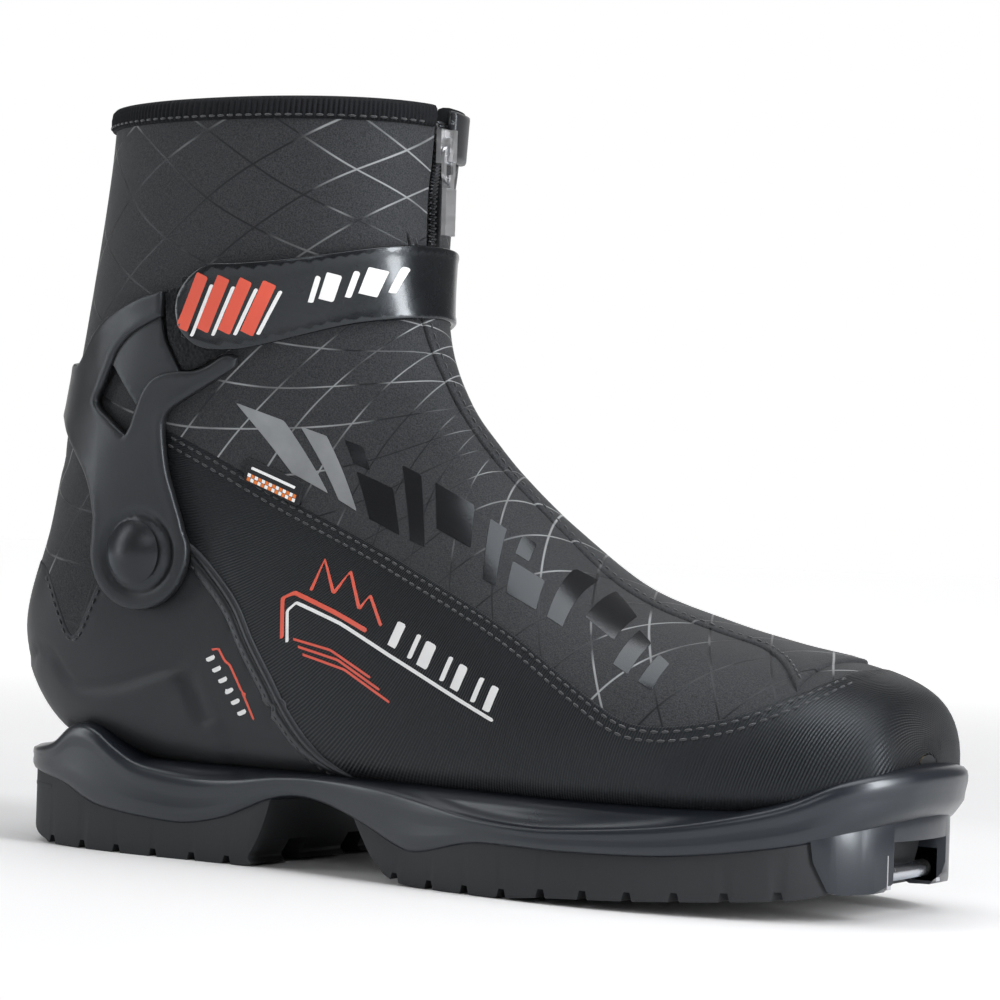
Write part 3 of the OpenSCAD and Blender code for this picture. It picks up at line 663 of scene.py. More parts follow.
frame_plastic, tree, shader = finish("blue_black_frame", (0.009, 0.011, 0.0155), 0.3, Coat_Weight=0.3,
                                     Coat_Roughness=0.22)
vary_colour(tree, shader, noise(tree, 18), (0.0055, 0.0068, 0.0098), (0.0105, 0.0125, 0.0175))
vary_roughness(tree, shader, noise(tree, 55, 6), 0.27, 0.42, 0.3, 0.75)
raise_surface(tree, shader, noise(tree, 700, 2), 0.00003, 0.5)

x = sole_plan[:, 0]
top, foot = top_of_frame(x), foot_of_frame(x)
tall = top - foot
ease = np.clip(tall / 15, 0.35, 1)
rise = np.clip(28 - top, 0.6, 8)
nose = 4.2 * np.clip((x - 130) / 18, 0, 1) ** 1.4
sole_frame = sole_wall("sole_frame_moulding", [
    (20, top + rise - 1), (9, top + rise), (5, top + 0.85 * rise), (3.4, top + 0.4 * rise),
    (2.2 - 0.6 * nose, top + 0.2), (1.0 - 0.9 * nose, top - 0.5), (0.35 - nose, top - 1.6 * ease),
    (0.1 - nose, top - 3 * ease), (0.12 * ease - nose, top - 4.4 * ease),
    (0.4 * ease - nose, top - 5.8 * ease), (0.5 * ease - 0.95 * nose, top - 7.2 * ease),
    (0.2 * ease - 0.8 * nose, foot + 0.36 * tall), (0.15 - 0.5 * nose, foot + 0.24 * tall),
    (0.6 - 0.2 * nose, foot + 0.1 * tall), (1.4, foot + 0.4), (2.6, foot), (14, foot)], frame_plastic)
carve(sole_frame, "DIFFERENCE", box_cutter((128, -14, -5), (168, 14, 21)))
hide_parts("sole_frame")
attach(sole_frame, "boot")

# --- Rubber treads --------------------------------------------------------------------------------
# Two blocks of matte dark grey rubber are moulded under the frame, one at the heel and one from
# the waist to the toe. Both have lugs along their edges and two grooves for the binding's ridges.
tread_rubber, tree, shader = finish("tread_rubber", (0.03, 0.028, 0.027), 0.62)
vary_colour(tree, shader, noise(tree, 14, 5), (0.009, 0.0088, 0.0092), (0.021, 0.02, 0.0205))
raise_surface(tree, shader, noise(tree, 420, 4), 0.00012, 0.5)
HEEL_TREAD = smooth_line([(-152, 14), (-138, 4.5), (-128, 1), (-118, 0), (-52, 0), (-47, 3),
                          (-42, 12), (-38, 24)], 1)
FORE_TREAD = smooth_line([(-12, 24), (-6, 14), (-1, 7), (5, 2), (14, 0.1), (44, 0.1), (60, 1.4),
                          (90, 3), (120, 5), (131, 6.2), (137, 9), (140, 16), (141.5, 26)], 1)


def upright(outline, low, high, axis):
    """A prism over an outline: axis 2 stands on a plan, axis 1 lies across a side view."""
    n = len(outline)
    if axis == 2:
        points = [(x, y, z) for z in (low, high) for x, y in outline]
    else:
        points = [(x, y, z) for y in (low, high) for x, z in outline]
    faces = [tuple(range(n)), tuple(range(2 * n - 1, n - 1, -1))]
    faces += [(i, (i + 1) % n, n + (i + 1) % n, n + i) for i in range(n)]
    made = new_piece("block", points, faces, tread_rubber, smooth=False)
    outward_faces(made)
    return made


def soften(piece, width, angle=32):
    """Rounds the edges of a moulded block and smooths its faces."""
    bevel = piece.modifiers.new("soft_edges", "BEVEL")
    bevel.width, bevel.segments, bevel.limit_method = width / 1000, 2, "ANGLE"
    bevel.angle_limit = radians(angle)
    bevel.use_clamp_overlap = True
    apply_all(piece)
    piece.data.set_sharp_from_angle(angle=radians(50))
    piece.data.polygons.foreach_set("use_smooth", [True] * len(piece.data.polygons))


def inset_plan(inset):
    """The sole's plan drawn in by so many millimetres."""
    return sole_plan - plan_out * inset


def tread(name, underside, notches, ribs):
    """A tread block: plan and side view together, less the grooves, edge notches and cross cuts."""
    low = [tuple(p) for p in underside]
    x0, x1 = underside[0, 0], underside[-1, 0]
    over = [(x, foot_of_frame(x) + 0.8) for x in np.arange(x1 - 2, x0 + 1, -3)]
    over = [(x, z) for x, z in over if z > np.interp(x, underside[:, 0], underside[:, 1]) + 1]
    block = upright(inset_plan(1.5), -2, 30, 2)
    block.name = name
    carve(block, "INTERSECT", upright(low + over, -70, 70, 1))
    cutters = [box_cutter((x0 - 9, y - 4.5, -3), (x1 + 9, y + 4.5, 7)) for y in (-15, 15)]
    slit_half, slit_ahead = 1.6, 5
    for x in notches:
        z = float(np.interp(x, underside[:, 0], underside[:, 1]))
        for side in (-1, 1):
            edge = sole_plan[sole_plan[:, 1] * side > 0]
            edge = edge[np.argsort(edge[:, 0])]
            half = float(np.interp(x, edge[:, 0], abs(edge[:, 1])))
            reach = sorted((side * (half - 7.5), side * 60))
            wedge = [(x - 2.2, z - 2), (x + 2.2, z - 2), (x + 0.9, z + 2.4), (x - 0.9, z + 2.4)]
            cutters.append(upright(wedge, *reach, 1))
            lug = sorted((side * 21.5, side * (half - 9.5)))
            cutters.append(box_cutter((x - slit_half + slit_ahead, lug[0], z - 3),
                                      (x + slit_half + slit_ahead, lug[1], z + 3)))
    for x in ribs:
        cutters.append(box_cutter((x - 0.9, -9, -3), (x + 0.9, 9, 3.2 + x / 50)))
    carve(block, "DIFFERENCE", *cutters)
    soften(block, 0.45)
    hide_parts(name.replace("tread", "outsole"))
    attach(block, "boot")
    return block


tread("tread_heel", HEEL_TREAD, (-124, -110, -96, -82, -68, -55), range(-120, -50, 8))
tread("tread_forefoot", FORE_TREAD, tuple(range(8, 128, 13)), range(4, 126, 8))

# Four thin ribs run round the back of the heel block
for z in (5.2, 8.2, 11.2, 14.2, 17.2):
    inset = np.interp(z, [0, 4.5, 14, 24], [9, 5.2, 2.2, 1.4])
    ring = [p for p in inset_plan(inset - 0.55) if p[0] < -124]
    ring.sort(key=lambda p: p[1])
    inner = [(x + 3.5, y * 0.93) for x, y in ring][::-1]
    rib = upright([tuple(p) for p in ring] + inner, z - 0.75, z + 0.75, 2)
    rib.name = f"heel_rib_{int(z)}"
    soften(rib, 0.35, 40)
    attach(rib, "boot")

# The frame comes down round the toe slot as a housing with bevelled corners
housing = upright([tuple(p) for p in inset_plan(0.6) if p[0] > 128], 6, 30, 2)
housing.name = "toe_housing"
housing.data.materials[0] = frame_plastic
carve(housing, "INTERSECT", upright([(131.5, 29), (133, 16), (136, 8.4), (138, 7.4), (144, 7.6), (147.5, 11),
                                     (149.6, 17.5), (151, 21), (151, 28), (142, 25)], -60, 60, 1))
carve(housing, "DIFFERENCE", box_cutter((126, -14, -5), (168, 14, 21)))
soften(housing, 0.9, 25)
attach(housing, "boot")

# --- Toe bar --------------------------------------------------------------------------------------
# A polished steel rod crosses the slot at the toe, held by two punched steel plates. It's what the
# binding's jaw grips.
steel, tree, shader = finish("polished_steel", (0.62, 0.62, 0.64), 0.22, Metallic=1.0)
vary_roughness(tree, shader, noise(tree, 900, 3), 0.16, 0.32)
raise_surface(tree, shader, noise(tree, 1500, 2), 0.00002, 0.4)


def dress(material, *names):
    """Gives its material to each frame piece that stays as it is."""
    for name in names:
        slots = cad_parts[name].data.materials
        slots.clear()
        slots.append(material)


dress(steel, "toe_bar", "toe_bar_plate", "shank", "strap_rivets", "rivet_washers")

# --- Inside of the foot ---------------------------------------------------------------------------
# The lasting board, the toe puff and the heel stiffener are fibre board, glued between lining and
# upper and never seen. Lacing stays and their eyelets lie under the cover.
fibre, tree, shader = finish("fibre_board", (0.34, 0.27, 0.17), 0.9)
vary_colour(tree, shader, noise(tree, 260, 5), (0.26, 0.2, 0.12), (0.42, 0.34, 0.22))
raise_surface(tree, shader, noise(tree, 900), 0.0001, 0.5)
dress(fibre, "lasting_board", "toe_puff", "heel_stiffener")
eyelet_metal, tree, shader = finish("eyelet_nickel", (0.5, 0.5, 0.5), 0.3, Metallic=1.0)
raise_surface(tree, shader, noise(tree, 1200, 2), 0.00002, 0.4)
dress(eyelet_metal, "eyelets")

# --- Vamp -----------------------------------------------------------------------------------------
# One panel of coated twill wraps from the waist round the toe. Its upper edge is folded and
# sewn down on the softshell with two rows of thick thread, and its lower edge goes into the sole.
SEAM = [(-84, 127), (-66, 118.5), (-39, 105), (-2, 90), (36, 74.5), (64, 59.5), (80, 51.2),
        (89, 49.3), (99, 50), (110, 52.5), (119, 56.5), (126, 60.4), (130.5, 64.6)]
PIPING = [(-84, 97), (-72, 90), (-64, 83), (-56, 74.5), (-49.5, 64.5), (-41.5, 54), (-33, 43),
          (-23.5, 34), (-12, 27), (-4, 23.8)]
hidden_edge = 3.4


def twill(name, colour, dark, pitch, roughness, depth, slant=0.35, sheen=0.03):
    """Woven, coated cloth: fine slanted ribs in the cloth's own directions, with painted shade in the
    grooves.
    """
    material, tree, shader = finish(name, colour, roughness, Sheen_Weight=sheen, Sheen_Roughness=0.5,
                                    Specular_IOR_Level=0.3)
    flat = node(tree, "UVMap", uv_map="cloth").outputs[0]
    split = node(tree, "SeparateXYZ", [(0, flat)])
    u, v = split.outputs[0], split.outputs[1]
    wander = noise(tree, 90, 2)
    rib = maths(tree, "SINE", maths(tree, "ADD", maths(tree, "MULTIPLY", maths(
        tree, "ADD", u, maths(tree, "MULTIPLY", v, slant)), tau / pitch), maths(
        tree, "MULTIPLY", wander, 3.0)))
    weft = maths(tree, "SINE", maths(tree, "MULTIPLY", v, tau / (pitch * 1.7)))
    height = maths(tree, "ADD", maths(tree, "MULTIPLY", rib, 0.85), maths(tree, "MULTIPLY", weft, 0.16))
    # Painted shade: the low parts of the weave are painted darker, times a patchy tone over the cloth
    shade = maths(tree, "MULTIPLY_ADD", height, 0.3, 0.5)
    patchy_tone_and_groove_shade = maths(tree, "MULTIPLY", noise(tree, 12, 4), shade)
    vary_colour(tree, shader, patchy_tone_and_groove_shade, dark, colour)
    raise_surface(tree, shader, height, depth, 0.7)
    return material


vamp_cloth = twill("coated_twill", (0.0095, 0.0105, 0.0125), (0.003, 0.0034, 0.0042), 0.00078, 0.42, 0.00012)
seam_s, seam_a = on_side(smooth_line(SEAM, 1.2))
seam_a[-1] = 180
pipe_s, pipe_a = on_side(smooth_line(PIPING, 1.2))
rear_top = on_side(smooth_line([(-84, 97), (-84, 127)], 1.5))


def sole_line(x0, x1, middle_low=24.1):
    """Where the upper goes into the sole, from x0 to x1 along the outer side."""
    x = np.linspace(x0, x1, int(abs(x1 - x0) / 2) + 2)
    return on_side(np.stack([x, np.maximum(top_of_frame(x) - hidden_edge, middle_low)], -1))


def there_and_back(s, a):
    """A line on the outer side followed by its mirror image back along the inner side."""
    return np.concatenate([s, s[::-1]]), np.concatenate([a, 360 - a[::-1]])


def out_and_back(s, a, back_s, back_a):
    """A closed outline that goes out along one line and comes back along another."""
    return np.stack([np.concatenate([s, back_s[::-1]]), np.concatenate([a, back_a[::-1]])], -1)


low_s, low_a = sole_line(-4, 134)
toe_hole = 0.014
tip_s = np.concatenate([low_s, np.linspace(low_s[-1], toe_hole, 12)[1:]])
tip_a = np.concatenate([low_a, np.linspace(low_a[-1], 62, 12)[1:]])
vamp_line = [(pipe_s[::-1], pipe_a[::-1]), rear_top, (seam_s, seam_a)]
half_s = np.concatenate([p[0] for p in vamp_line])
half_a = np.concatenate([p[1] for p in vamp_line])
top_s, top_a = there_and_back(half_s, half_a)
front_round = np.linspace(62, 298, 16)[1:-1]
front_s = np.concatenate([tip_s, np.full(14, toe_hole), tip_s[::-1]])
front_a = np.concatenate([tip_a, front_round, 360 - tip_a[::-1]])
vamp_outline = out_and_back(top_s, top_a, front_s, front_a)


def toe_creases(points, s, a, far):
    """The cloth dips a little along the two rows of thread and swells between them and the sole."""
    row = np.exp(-((far - 1.7) / 0.5) ** 2) + np.exp(-((far - 4.1) / 0.5) ** 2)
    return np.where(points[:, 2] > 45, -0.22 * row, 0)


vamp = cut_panel("vamp", vamp_outline, vamp_cloth, 0.0, -1.6, turn=0.9, drop=0.8, grid=2.0,
                 relief=toe_creases)
tip = over_last(np.full(24, toe_hole), np.linspace(0, 345, 24))
cap = new_piece("vamp_toe_end", np.vstack([tip, [[147.3, 4, 38]]]),
                [(i, (i + 1) % 24, 24) for i in range(24)], vamp_cloth, np.zeros((25, 2)))
outward_faces(cap)
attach(cap, "boot")
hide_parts("vamp_panel")
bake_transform(vamp)

thread, tree, shader = finish("black_thread", (0.012, 0.012, 0.013), 0.55, Sheen_Weight=0.3)
vary_colour(tree, shader, noise(tree, 600), (0.006, 0.006, 0.007), (0.03, 0.03, 0.032))
raise_surface(tree, shader, noise(tree, 2500, 2), 0.00008)
rows_of_thread = []
for side in (1, -1):
    for inset in (-1.7, -4.1):
        s, a = beside(seam_s[4:-1], seam_a[4:-1], inset)
        rows_of_thread.append(on_cloth(s, a * side if side > 0 else 360 - a))
vamp_thread = stitches("vamp_thread", rows_of_thread, thread, proud=-0.12)
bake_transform(vamp_thread)

# --- Heel counter ---------------------------------------------------------------------------------
# A smooth coated panel over the stiffener, with a notch at each side of the heel where the
# softshell comes through, an embossed line round the heel, and one row of thread along its edges.
counter_coat, tree, shader = finish("matte_coated_cloth", (0.008, 0.0083, 0.0095), 0.46, Sheen_Weight=0.03,
                                    Specular_IOR_Level=0.4)
vary_colour(tree, shader, noise(tree, 16, 4), (0.007, 0.0073, 0.0083), (0.0125, 0.013, 0.0145))
raise_surface(tree, shader, cells(tree, 2200), 0.00006, 0.45)
raise_surface(tree, shader, noise(tree, 60, 3), 0.0004, 0.3)

COUNTER_TOP = [(-127, 82.5), (-123.6, 77.5), (-120, 70), (-117.6, 65.2), (-116, 63.6), (-114.2, 65),
               (-111, 70.5), (-107.5, 77), (-104.8, 82), (-103, 90), (-101, 97)]
COUNTER_EMBOSS = [(-138.5, 54), (-134, 58), (-130, 59.3), (-125, 57.5), (-119, 50.5), (-113, 48.3),
                  (-104, 48.6), (-96, 50), (-85, 53.5), (-78, 55.6), (-74, 55.4), (-70.5, 52),
                  (-68, 47), (-65, 41)]
emboss_s, emboss_a = on_side(smooth_line(COUNTER_EMBOSS, 1))
emboss_tree = kdtree.KDTree(2 * len(emboss_s))
for i, p in enumerate(np.vstack([over_last(emboss_s, emboss_a), over_last(emboss_s, -emboss_a)])):
    emboss_tree.insert(p, i)
emboss_tree.balance()


def embossed(points, s, a, far):
    """The heel swells below the embossed line, which is a narrow step."""
    height = np.zeros(len(points))
    for i in np.nonzero((points[:, 0] < -58) & (points[:, 2] < 70))[0]:
        near, _, d = emboss_tree.find(points[i])
        under = 1 if points[i][2] < near[2] - 0.2 * abs(points[i][0] - near[0]) else 0
        bulge = under * 0.75 * (1 - np.exp(-(d / 2.2) ** 2)) * np.exp(-d / 26)
        height[i] = -0.5 * np.exp(-(d / 1.1) ** 2) + bulge
    return height - 0.2 * np.exp(-((far - 1.9) / 0.5) ** 2) * (points[:, 2] > 34)


def both_sides(s, a):
    """An outline from its outer half, whose ends lie on the middle line of the back."""
    return np.stack([np.concatenate([s, s[-2:0:-1]]), np.concatenate([a, -a[-2:0:-1]])], -1)


def back_row(z, s):
    """Section, among those given, where the middle line of the back is z high."""
    return float(np.interp(z, skin(s, 0.0)[:, 2], s))


notch_s, notch_a = on_side(smooth_line(COUNTER_TOP, 1.0))
back_s, back_a = on_side(smooth_line([(-142, 86), (-137, 85.6), (-131, 84.6), (-127, 82.5)], 1.4))
back_s = np.concatenate([[back_row(86, np.linspace(12, 14, 60))], back_s])
back_a = np.concatenate([[0], back_a])
under_cuff = on_side(smooth_line([(-101, 97), (-96, 101), (-84, 101), (-84, 97)], 1.5))
edge_s, edge_a = beside(pipe_s, pipe_a, -2.2)
heel_low = sole_line(-6, -112, 24.6)
to_back = (np.linspace(heel_low[0][-1], 10.5, 10)[1:], np.linspace(heel_low[1][-1], 0.0, 10)[1:])
half_s = np.concatenate([back_s, notch_s[1:], under_cuff[0][1:], edge_s[1:-1], heel_low[0], to_back[0]])
half_a = np.concatenate([back_a, notch_a[1:], under_cuff[1][1:], edge_a[1:-1], heel_low[1], to_back[1]])
counter = cut_panel("heel_counter", both_sides(half_s, half_a), counter_coat, 0.0, -1.6, middle=0,
                    grid=1.7, turn=1.0, drop=0.9, relief=embossed)
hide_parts("heel_counter_panel")
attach(counter, "boot")

# Piping of black leathercloth over a cord, with a flat stitched wing behind it
trim, tree, shader = finish("black_leathercloth", (0.011, 0.011, 0.012), 0.36, Coat_Weight=0.15,
                            Coat_Roughness=0.3)
vary_colour(tree, shader, noise(tree, 40, 4), (0.007, 0.007, 0.008), (0.017, 0.017, 0.019))
raise_surface(tree, shader, noise(tree, 1300, 3), 0.00008, 0.6)
round_cord = [(-1.3, -0.9), (-1.35, -0.1), (-0.95, 0.55), (-0.3, 0.86), (0.4, 0.88), (1.05, 0.6),
              (1.45, 0.0), (1.4, -0.9)]
wing = [(-4.6, -1.0), (-4.7, -0.15), (-4.2, 0.22), (-2.6, 0.3), (-1.2, 0.24), (-0.9, -1.0)]
wing_rows = []
for side, word in ((1, "outer"), (-1, "inner")):
    s, a = pipe_s[1:-1], pipe_a[1:-1]
    for kind, shape in (("piping", round_cord), ("piping_wing", wing)):
        piece = ribbon(f"{kind}_{word}", s, a * side, [(across * side, proud) for across, proud in shape],
                       trim, middle=0)
        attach(piece, "boot")
        if kind == "piping":
            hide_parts("counter_piping")
    ws, wa = beside(s, a, -3.6)
    wing_rows.append(on_cloth(ws[4:], wa[4:] * side))
    ns, na = beside(notch_s[:-8], notch_a[:-8], -1.9, 0)
    wing_rows.append(on_cloth(ns, na * side))
wing_thread = stitches("counter_thread", wing_rows, thread, proud=0.1, length=2.0, gap=0.9, wide=0.3)
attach(wing_thread, "boot")

# --- Softshell ------------------------------------------------------------------------------------
# One layer of brushed stretch softshell over thin foam covers instep and shaft. A lattice of
# fine slanted lines is printed on it in gloss black, painted silver in patches as a painted reflection.
softshell, tree, shader = finish("brushed_softshell", (0.02, 0.0205, 0.022), 0.72, Sheen_Weight=0.08,
                                 Sheen_Roughness=0.45, Specular_IOR_Level=0.3)
flat = node(tree, "UVMap", uv_map="cloth").outputs[0]
speck = noise(tree, 2600, 2)
colour = mix_colours(tree, node(tree, "MapRange", [("Value", speck), (1, 0.35), (2, 0.7)]).outputs[0],
                     (0.011, 0.0115, 0.013), (0.04, 0.0405, 0.043))
split = node(tree, "SeparateXYZ", [(0, flat)])
u, v = split.outputs[0], split.outputs[1]
bend = maths(tree, "MULTIPLY", noise(tree, 9, 2), 0.006)
lines = None
for slant, pitch, start in ((0.62, 0.0165, 0.004), (-0.5, 0.0185, 0.011)):
    place = maths(tree, "ADD", maths(tree, "MULTIPLY_ADD", v, slant, u), bend)
    cell = maths(tree, "DIVIDE", maths(tree, "ADD", place, start), pitch)
    off = maths(tree, "ABSOLUTE", maths(tree, "SUBTRACT", maths(tree, "FRACT", cell), 0.5))
    line = node(tree, "MapRange", [("Value", off), (1, 0.012), (2, 0.026), (3, 1.0), (4, 0.0)]).outputs[0]
    lines = line if lines is None else maths(tree, "MAXIMUM", lines, line)
# Painted reflection: in patches the gloss black lines are painted light silver (silver below), as if they
# mirrored the lamps
painted_reflection_patches = node(tree, "MapRange", [("Value", noise(tree, 24, 2)), (1, 0.5), (2, 0.6)]).outputs[0]
silver = maths(tree, "MULTIPLY", lines, painted_reflection_patches)
colour = mix_colours(tree, lines, colour, (0.007, 0.007, 0.008))
colour = mix_colours(tree, maths(tree, "MULTIPLY", silver, 0.75), colour, (0.3, 0.31, 0.32))
tree.links.new(colour, shader.inputs["Base Color"])
vary_roughness(tree, shader, lines, 0.72, 0.33)
raise_surface(tree, shader, speck, 0.00011, 0.8)
raise_surface(tree, shader, lines, 0.00006, 0.6)
raise_surface(tree, shader, noise(tree, 22, 3), 0.0012, 0.35)

front_gap = 3.4
zip_low = 150
seat_s, seat_a = beside(seam_s, seam_a, -4.0)
seat_s, seat_a = seat_s[seat_a < 179], seat_a[seat_a < 179]
under_counter = on_side(smooth_line([(-84, 118), (-84, 90), (-92, 75), (-102, 60), (-116, 56), (-130, 60),
                                     (-137, 66), (-144, 70)], 2))
up_back = np.linspace(12.3, 17.68, 60)
back_line = (up_back, np.full(60, 0.05))
round_top = np.linspace(0, 1, 90)[1:]


def at_y(y, s):
    """Angle near the instep where the surface is y from the middle plane, on the outer side."""
    a = np.linspace(120, 180, 241)
    return np.array([np.interp(-y, skin(k, a)[:, 1], a) for k in np.atleast_1d(s)])


def row_at(z):
    """Section whose instep point is at height z."""
    s = np.linspace(9, end_row, 600)
    return float(np.interp(z, skin(s, 180.0)[:, 2], s))


slot_s = np.linspace(17.68, row_at(zip_low), 40)
slot_a = at_y(front_gap, slot_s)
top_edge = (np.full(89, 17.68), 0.05 + round_top * (slot_a[0] - 0.05))
toe_end = 2.75
half_s = np.concatenate([[toe_end], seat_s[::-1], under_counter[0], back_line[0], top_edge[0], slot_s[1:]])
half_a = np.concatenate([[180], seat_a[::-1], under_counter[1], back_line[1], top_edge[1], slot_a[1:]])
shell_outline = np.stack([np.concatenate([half_s, half_s[:0:-1]]),
                          np.concatenate([half_a, 360 - half_a[:0:-1]])], -1)
rng = np.random.default_rng(7)
swell_waves = [(rng.uniform(0.02, 0.06), rng.uniform(-0.05, 0.05), rng.uniform(0, tau)) for _ in range(7)]


def soft_folds(points, s, a, far):
    """Foam-backed cloth: it sinks at its seams, swells between them and folds at the ankle."""
    x, z = points[:, 0], points[:, 2]
    ripple = sum(np.sin(x * kx + z * kz * 1.4 + w) for kx, kz, w in swell_waves) / 7
    swell = 1 - np.exp(-far / 14)
    fold = np.zeros(len(x))
    for px, pz, dx, dz, depth, wide in ((-52, 141, 52, 26, 0.9, 5.0), (-40, 128, 46, 10, 0.6, 4.5),
                                        (-30, 118, 42, 2, 0.5, 5.0), (-136, 118, 18, -6, 0.8, 4.0)):
        d = np.hypot(dx, dz)
        t = ((x - px) * dx + (z - pz) * dz) / d**2
        off = ((x - px) * -dz + (z - pz) * dx) / d
        fold += depth * np.exp(-(off / wide) ** 2) * np.exp(-((t - 0.5) / 0.5) ** 4)
    return -0.45 + 0.5 * swell * (0.7 + 0.6 * ripple) - 0.8 * fold * swell


shell = cut_panel("softshell", shell_outline, softshell, 0.0, -1.6, grid=2.3, turn=0.8, drop=0.5,
                  relief=soft_folds)
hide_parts("foot_softshell", "ankle_gusset", "shaft_softshell", "shaft_foam")
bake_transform(shell)
back_tape = ribbon("back_seam_tape", np.linspace(12.6, 17.68, 70), np.full(70, 0.0),
                   [(-4.5, -0.5), (-4.4, 0.15), (-3.6, 0.32), (3.6, 0.32), (4.4, 0.15), (4.5, -0.5)],
                   trim, middle=0)
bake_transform(back_tape)
line = np.linspace(12.7, 17.6, 120)
back_rows = [on_cloth(*beside(line, np.full(120, 0.0), d, 0)) for d in (-3.2, 3.2)]
back_thread = stitches("back_thread", back_rows, thread, proud=0.28, wide=0.3)
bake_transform(back_thread)

# --- Placket over the lower zip -------------------------------------------------------------------
# A padded flap of the same softshell covers tongue, laces and lower zip from the ankle to the toe.
# It's sewn along its outer edge with one row of thread and ends rounded at the vamp's seam.
FLAP_EDGE = [(-12.2, -13, 186), (-11, -10, 172), (-8, -7, 158), (-3, -4.5, 143), (5, -3.4, 128),
             (15.5, -3, 115.5), (27, -2, 106), (42, -2.5, 95), (58, -4.5, 84.5), (73, -8, 78.5),
             (86, -8.5, 74.5), (97, -9, 71), (103, -9.5, 69.5), (111, -15, 67), (118, -22, 64),
             (124, -28.5, 60.2)]


def nearest_on_last(points):
    """Section and angle of points given in space, found near the instep."""
    s, a = np.meshgrid(np.linspace(2, end_row, 260), np.linspace(90, 270, 220), indexing="ij")
    field = skin(s, a).reshape(-1, 3)
    s, a = s.ravel(), a.ravel()
    best = [int(np.argmin(((field - p) ** 2).sum(1))) for p in np.asarray(points, float)]
    return s[best], a[best]


flap_s, flap_a = nearest_on_last(smooth_line(FLAP_EDGE, 1.5))
smooth = np.ones(7) / 7
flap_s[3:-3], flap_a[3:-3] = np.convolve(flap_s, smooth, "valid"), np.convolve(flap_a, smooth, "valid")
flap_inner = [(x, 17 if x < 100 else 17 - (x - 100) * 0.2, z) for x, _, z in FLAP_EDGE[2:]]
inner_s, inner_a = nearest_on_last(smooth_line(flap_inner, 2))
inner_s[3:-3], inner_a[3:-3] = np.convolve(inner_s, smooth, "valid"), np.convolve(inner_a, smooth, "valid")


def flap_roll(points, s, a, far):
    """The flap is padded: it swells from its edge and dips along its thread."""
    return 0.5 * (1 - np.exp(-far / 5)) - 0.3 * np.exp(-((far - 2.1) / 0.6) ** 2)


flap_outline = out_and_back(flap_s, flap_a, inner_s, inner_a)
placket = cut_panel("instep_flap", flap_outline, softshell, 0.75, -0.6, grid=2.0, turn=1.4, drop=1.0,
                    relief=flap_roll)
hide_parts("instep_placket")
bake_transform(placket)
flap_rows = [on_cloth(*beside(flap_s[2:-2], flap_a[2:-2], 2.2), 0.75)]
flap_thread = stitches("flap_thread", flap_rows, thread, proud=0.1, length=2.1, gap=1.0, wide=0.3)
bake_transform(flap_thread)
dress(trim, "foot_zip_tapes", "foot_zip_coil", "eyelet_stays")

# --- Lining, footbed and tongue -------------------------------------------------------------------
# Brushed mesh lines the boot from toe to collar, over a moulded footbed. A soft padded tongue lies
# under the cover, sewn in at the ball of the foot.
mesh_lining, tree, shader = finish("lining_mesh", (0.05, 0.052, 0.056), 0.85, Sheen_Weight=0.4)
fleck = node(tree, "MapRange", [("Value", cells(tree, 520)), (1, 0.2), (2, 0.55)]).outputs[0]
vary_colour(tree, shader, fleck, (0.02, 0.021, 0.023), (0.075, 0.077, 0.082))
raise_surface(tree, shader, fleck, 0.0004, 0.8)


def sock(name, depth_out, depth_in, s_from, s_to, rounds_n, rings, material):
    """A closed tube of cloth inside the last, open at the leg, with two faces."""
    s = np.linspace(s_from, s_to, rings)
    a = np.linspace(0, 360, rounds_n, endpoint=False)
    grid_s, grid_a = np.meshgrid(s, a, indexing="ij")
    walls = [over_last(grid_s, grid_a, np.full(grid_s.shape, -d)) for d in (depth_out, depth_in)]
    for wall in walls:
        wall[..., 2] = np.maximum(wall[..., 2], 26.5)
    points = np.concatenate([w.reshape(-1, 3) for w in walls])
    n, m = rounds_n, rings * rounds_n
    faces = []
    for w in (0, m):
        for i in range(rings - 1):
            for j in range(n):
                quad = (w + i * n + j, w + i * n + (j + 1) % n, w + (i + 1) * n + (j + 1) % n,
                        w + (i + 1) * n + j)
                faces.append(quad if w else quad[::-1])
        faces.append(tuple(w + j for j in (range(n) if not w else range(n - 1, -1, -1))))
    last = (rings - 1) * n
    faces += [(last + j, last + (j + 1) % n, m + last + (j + 1) % n, m + last + j) for j in range(n)]
    made = new_piece(name, points, faces, material)
    outward_faces(made)
    return made


lining = sock("lining", 2.9, 4.4, 1.6, 17.72, 120, 150, mesh_lining)
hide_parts("foot_lining", "shaft_lining")
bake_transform(lining)

tongue_mesh, tree, shader = finish("tongue_mesh", (0.035, 0.036, 0.04), 0.8, Sheen_Weight=0.4)
raise_surface(tree, shader, noise(tree, 700, 3), 0.0003, 0.8)
vary_colour(tree, shader, noise(tree, 300), (0.025, 0.026, 0.028), (0.05, 0.052, 0.056))
tongue_s = np.linspace(5.2, 12.6, 30)
tongue_a = at_y(20, tongue_s)
tongue_outline = out_and_back(tongue_s, tongue_a, tongue_s, 360 - tongue_a)
tongue = cut_panel("padded_tongue", tongue_outline, tongue_mesh, -5.6, -7.4, grid=3.0, step=2.4,
                   turn=2.5, drop=0.8, backed=True)


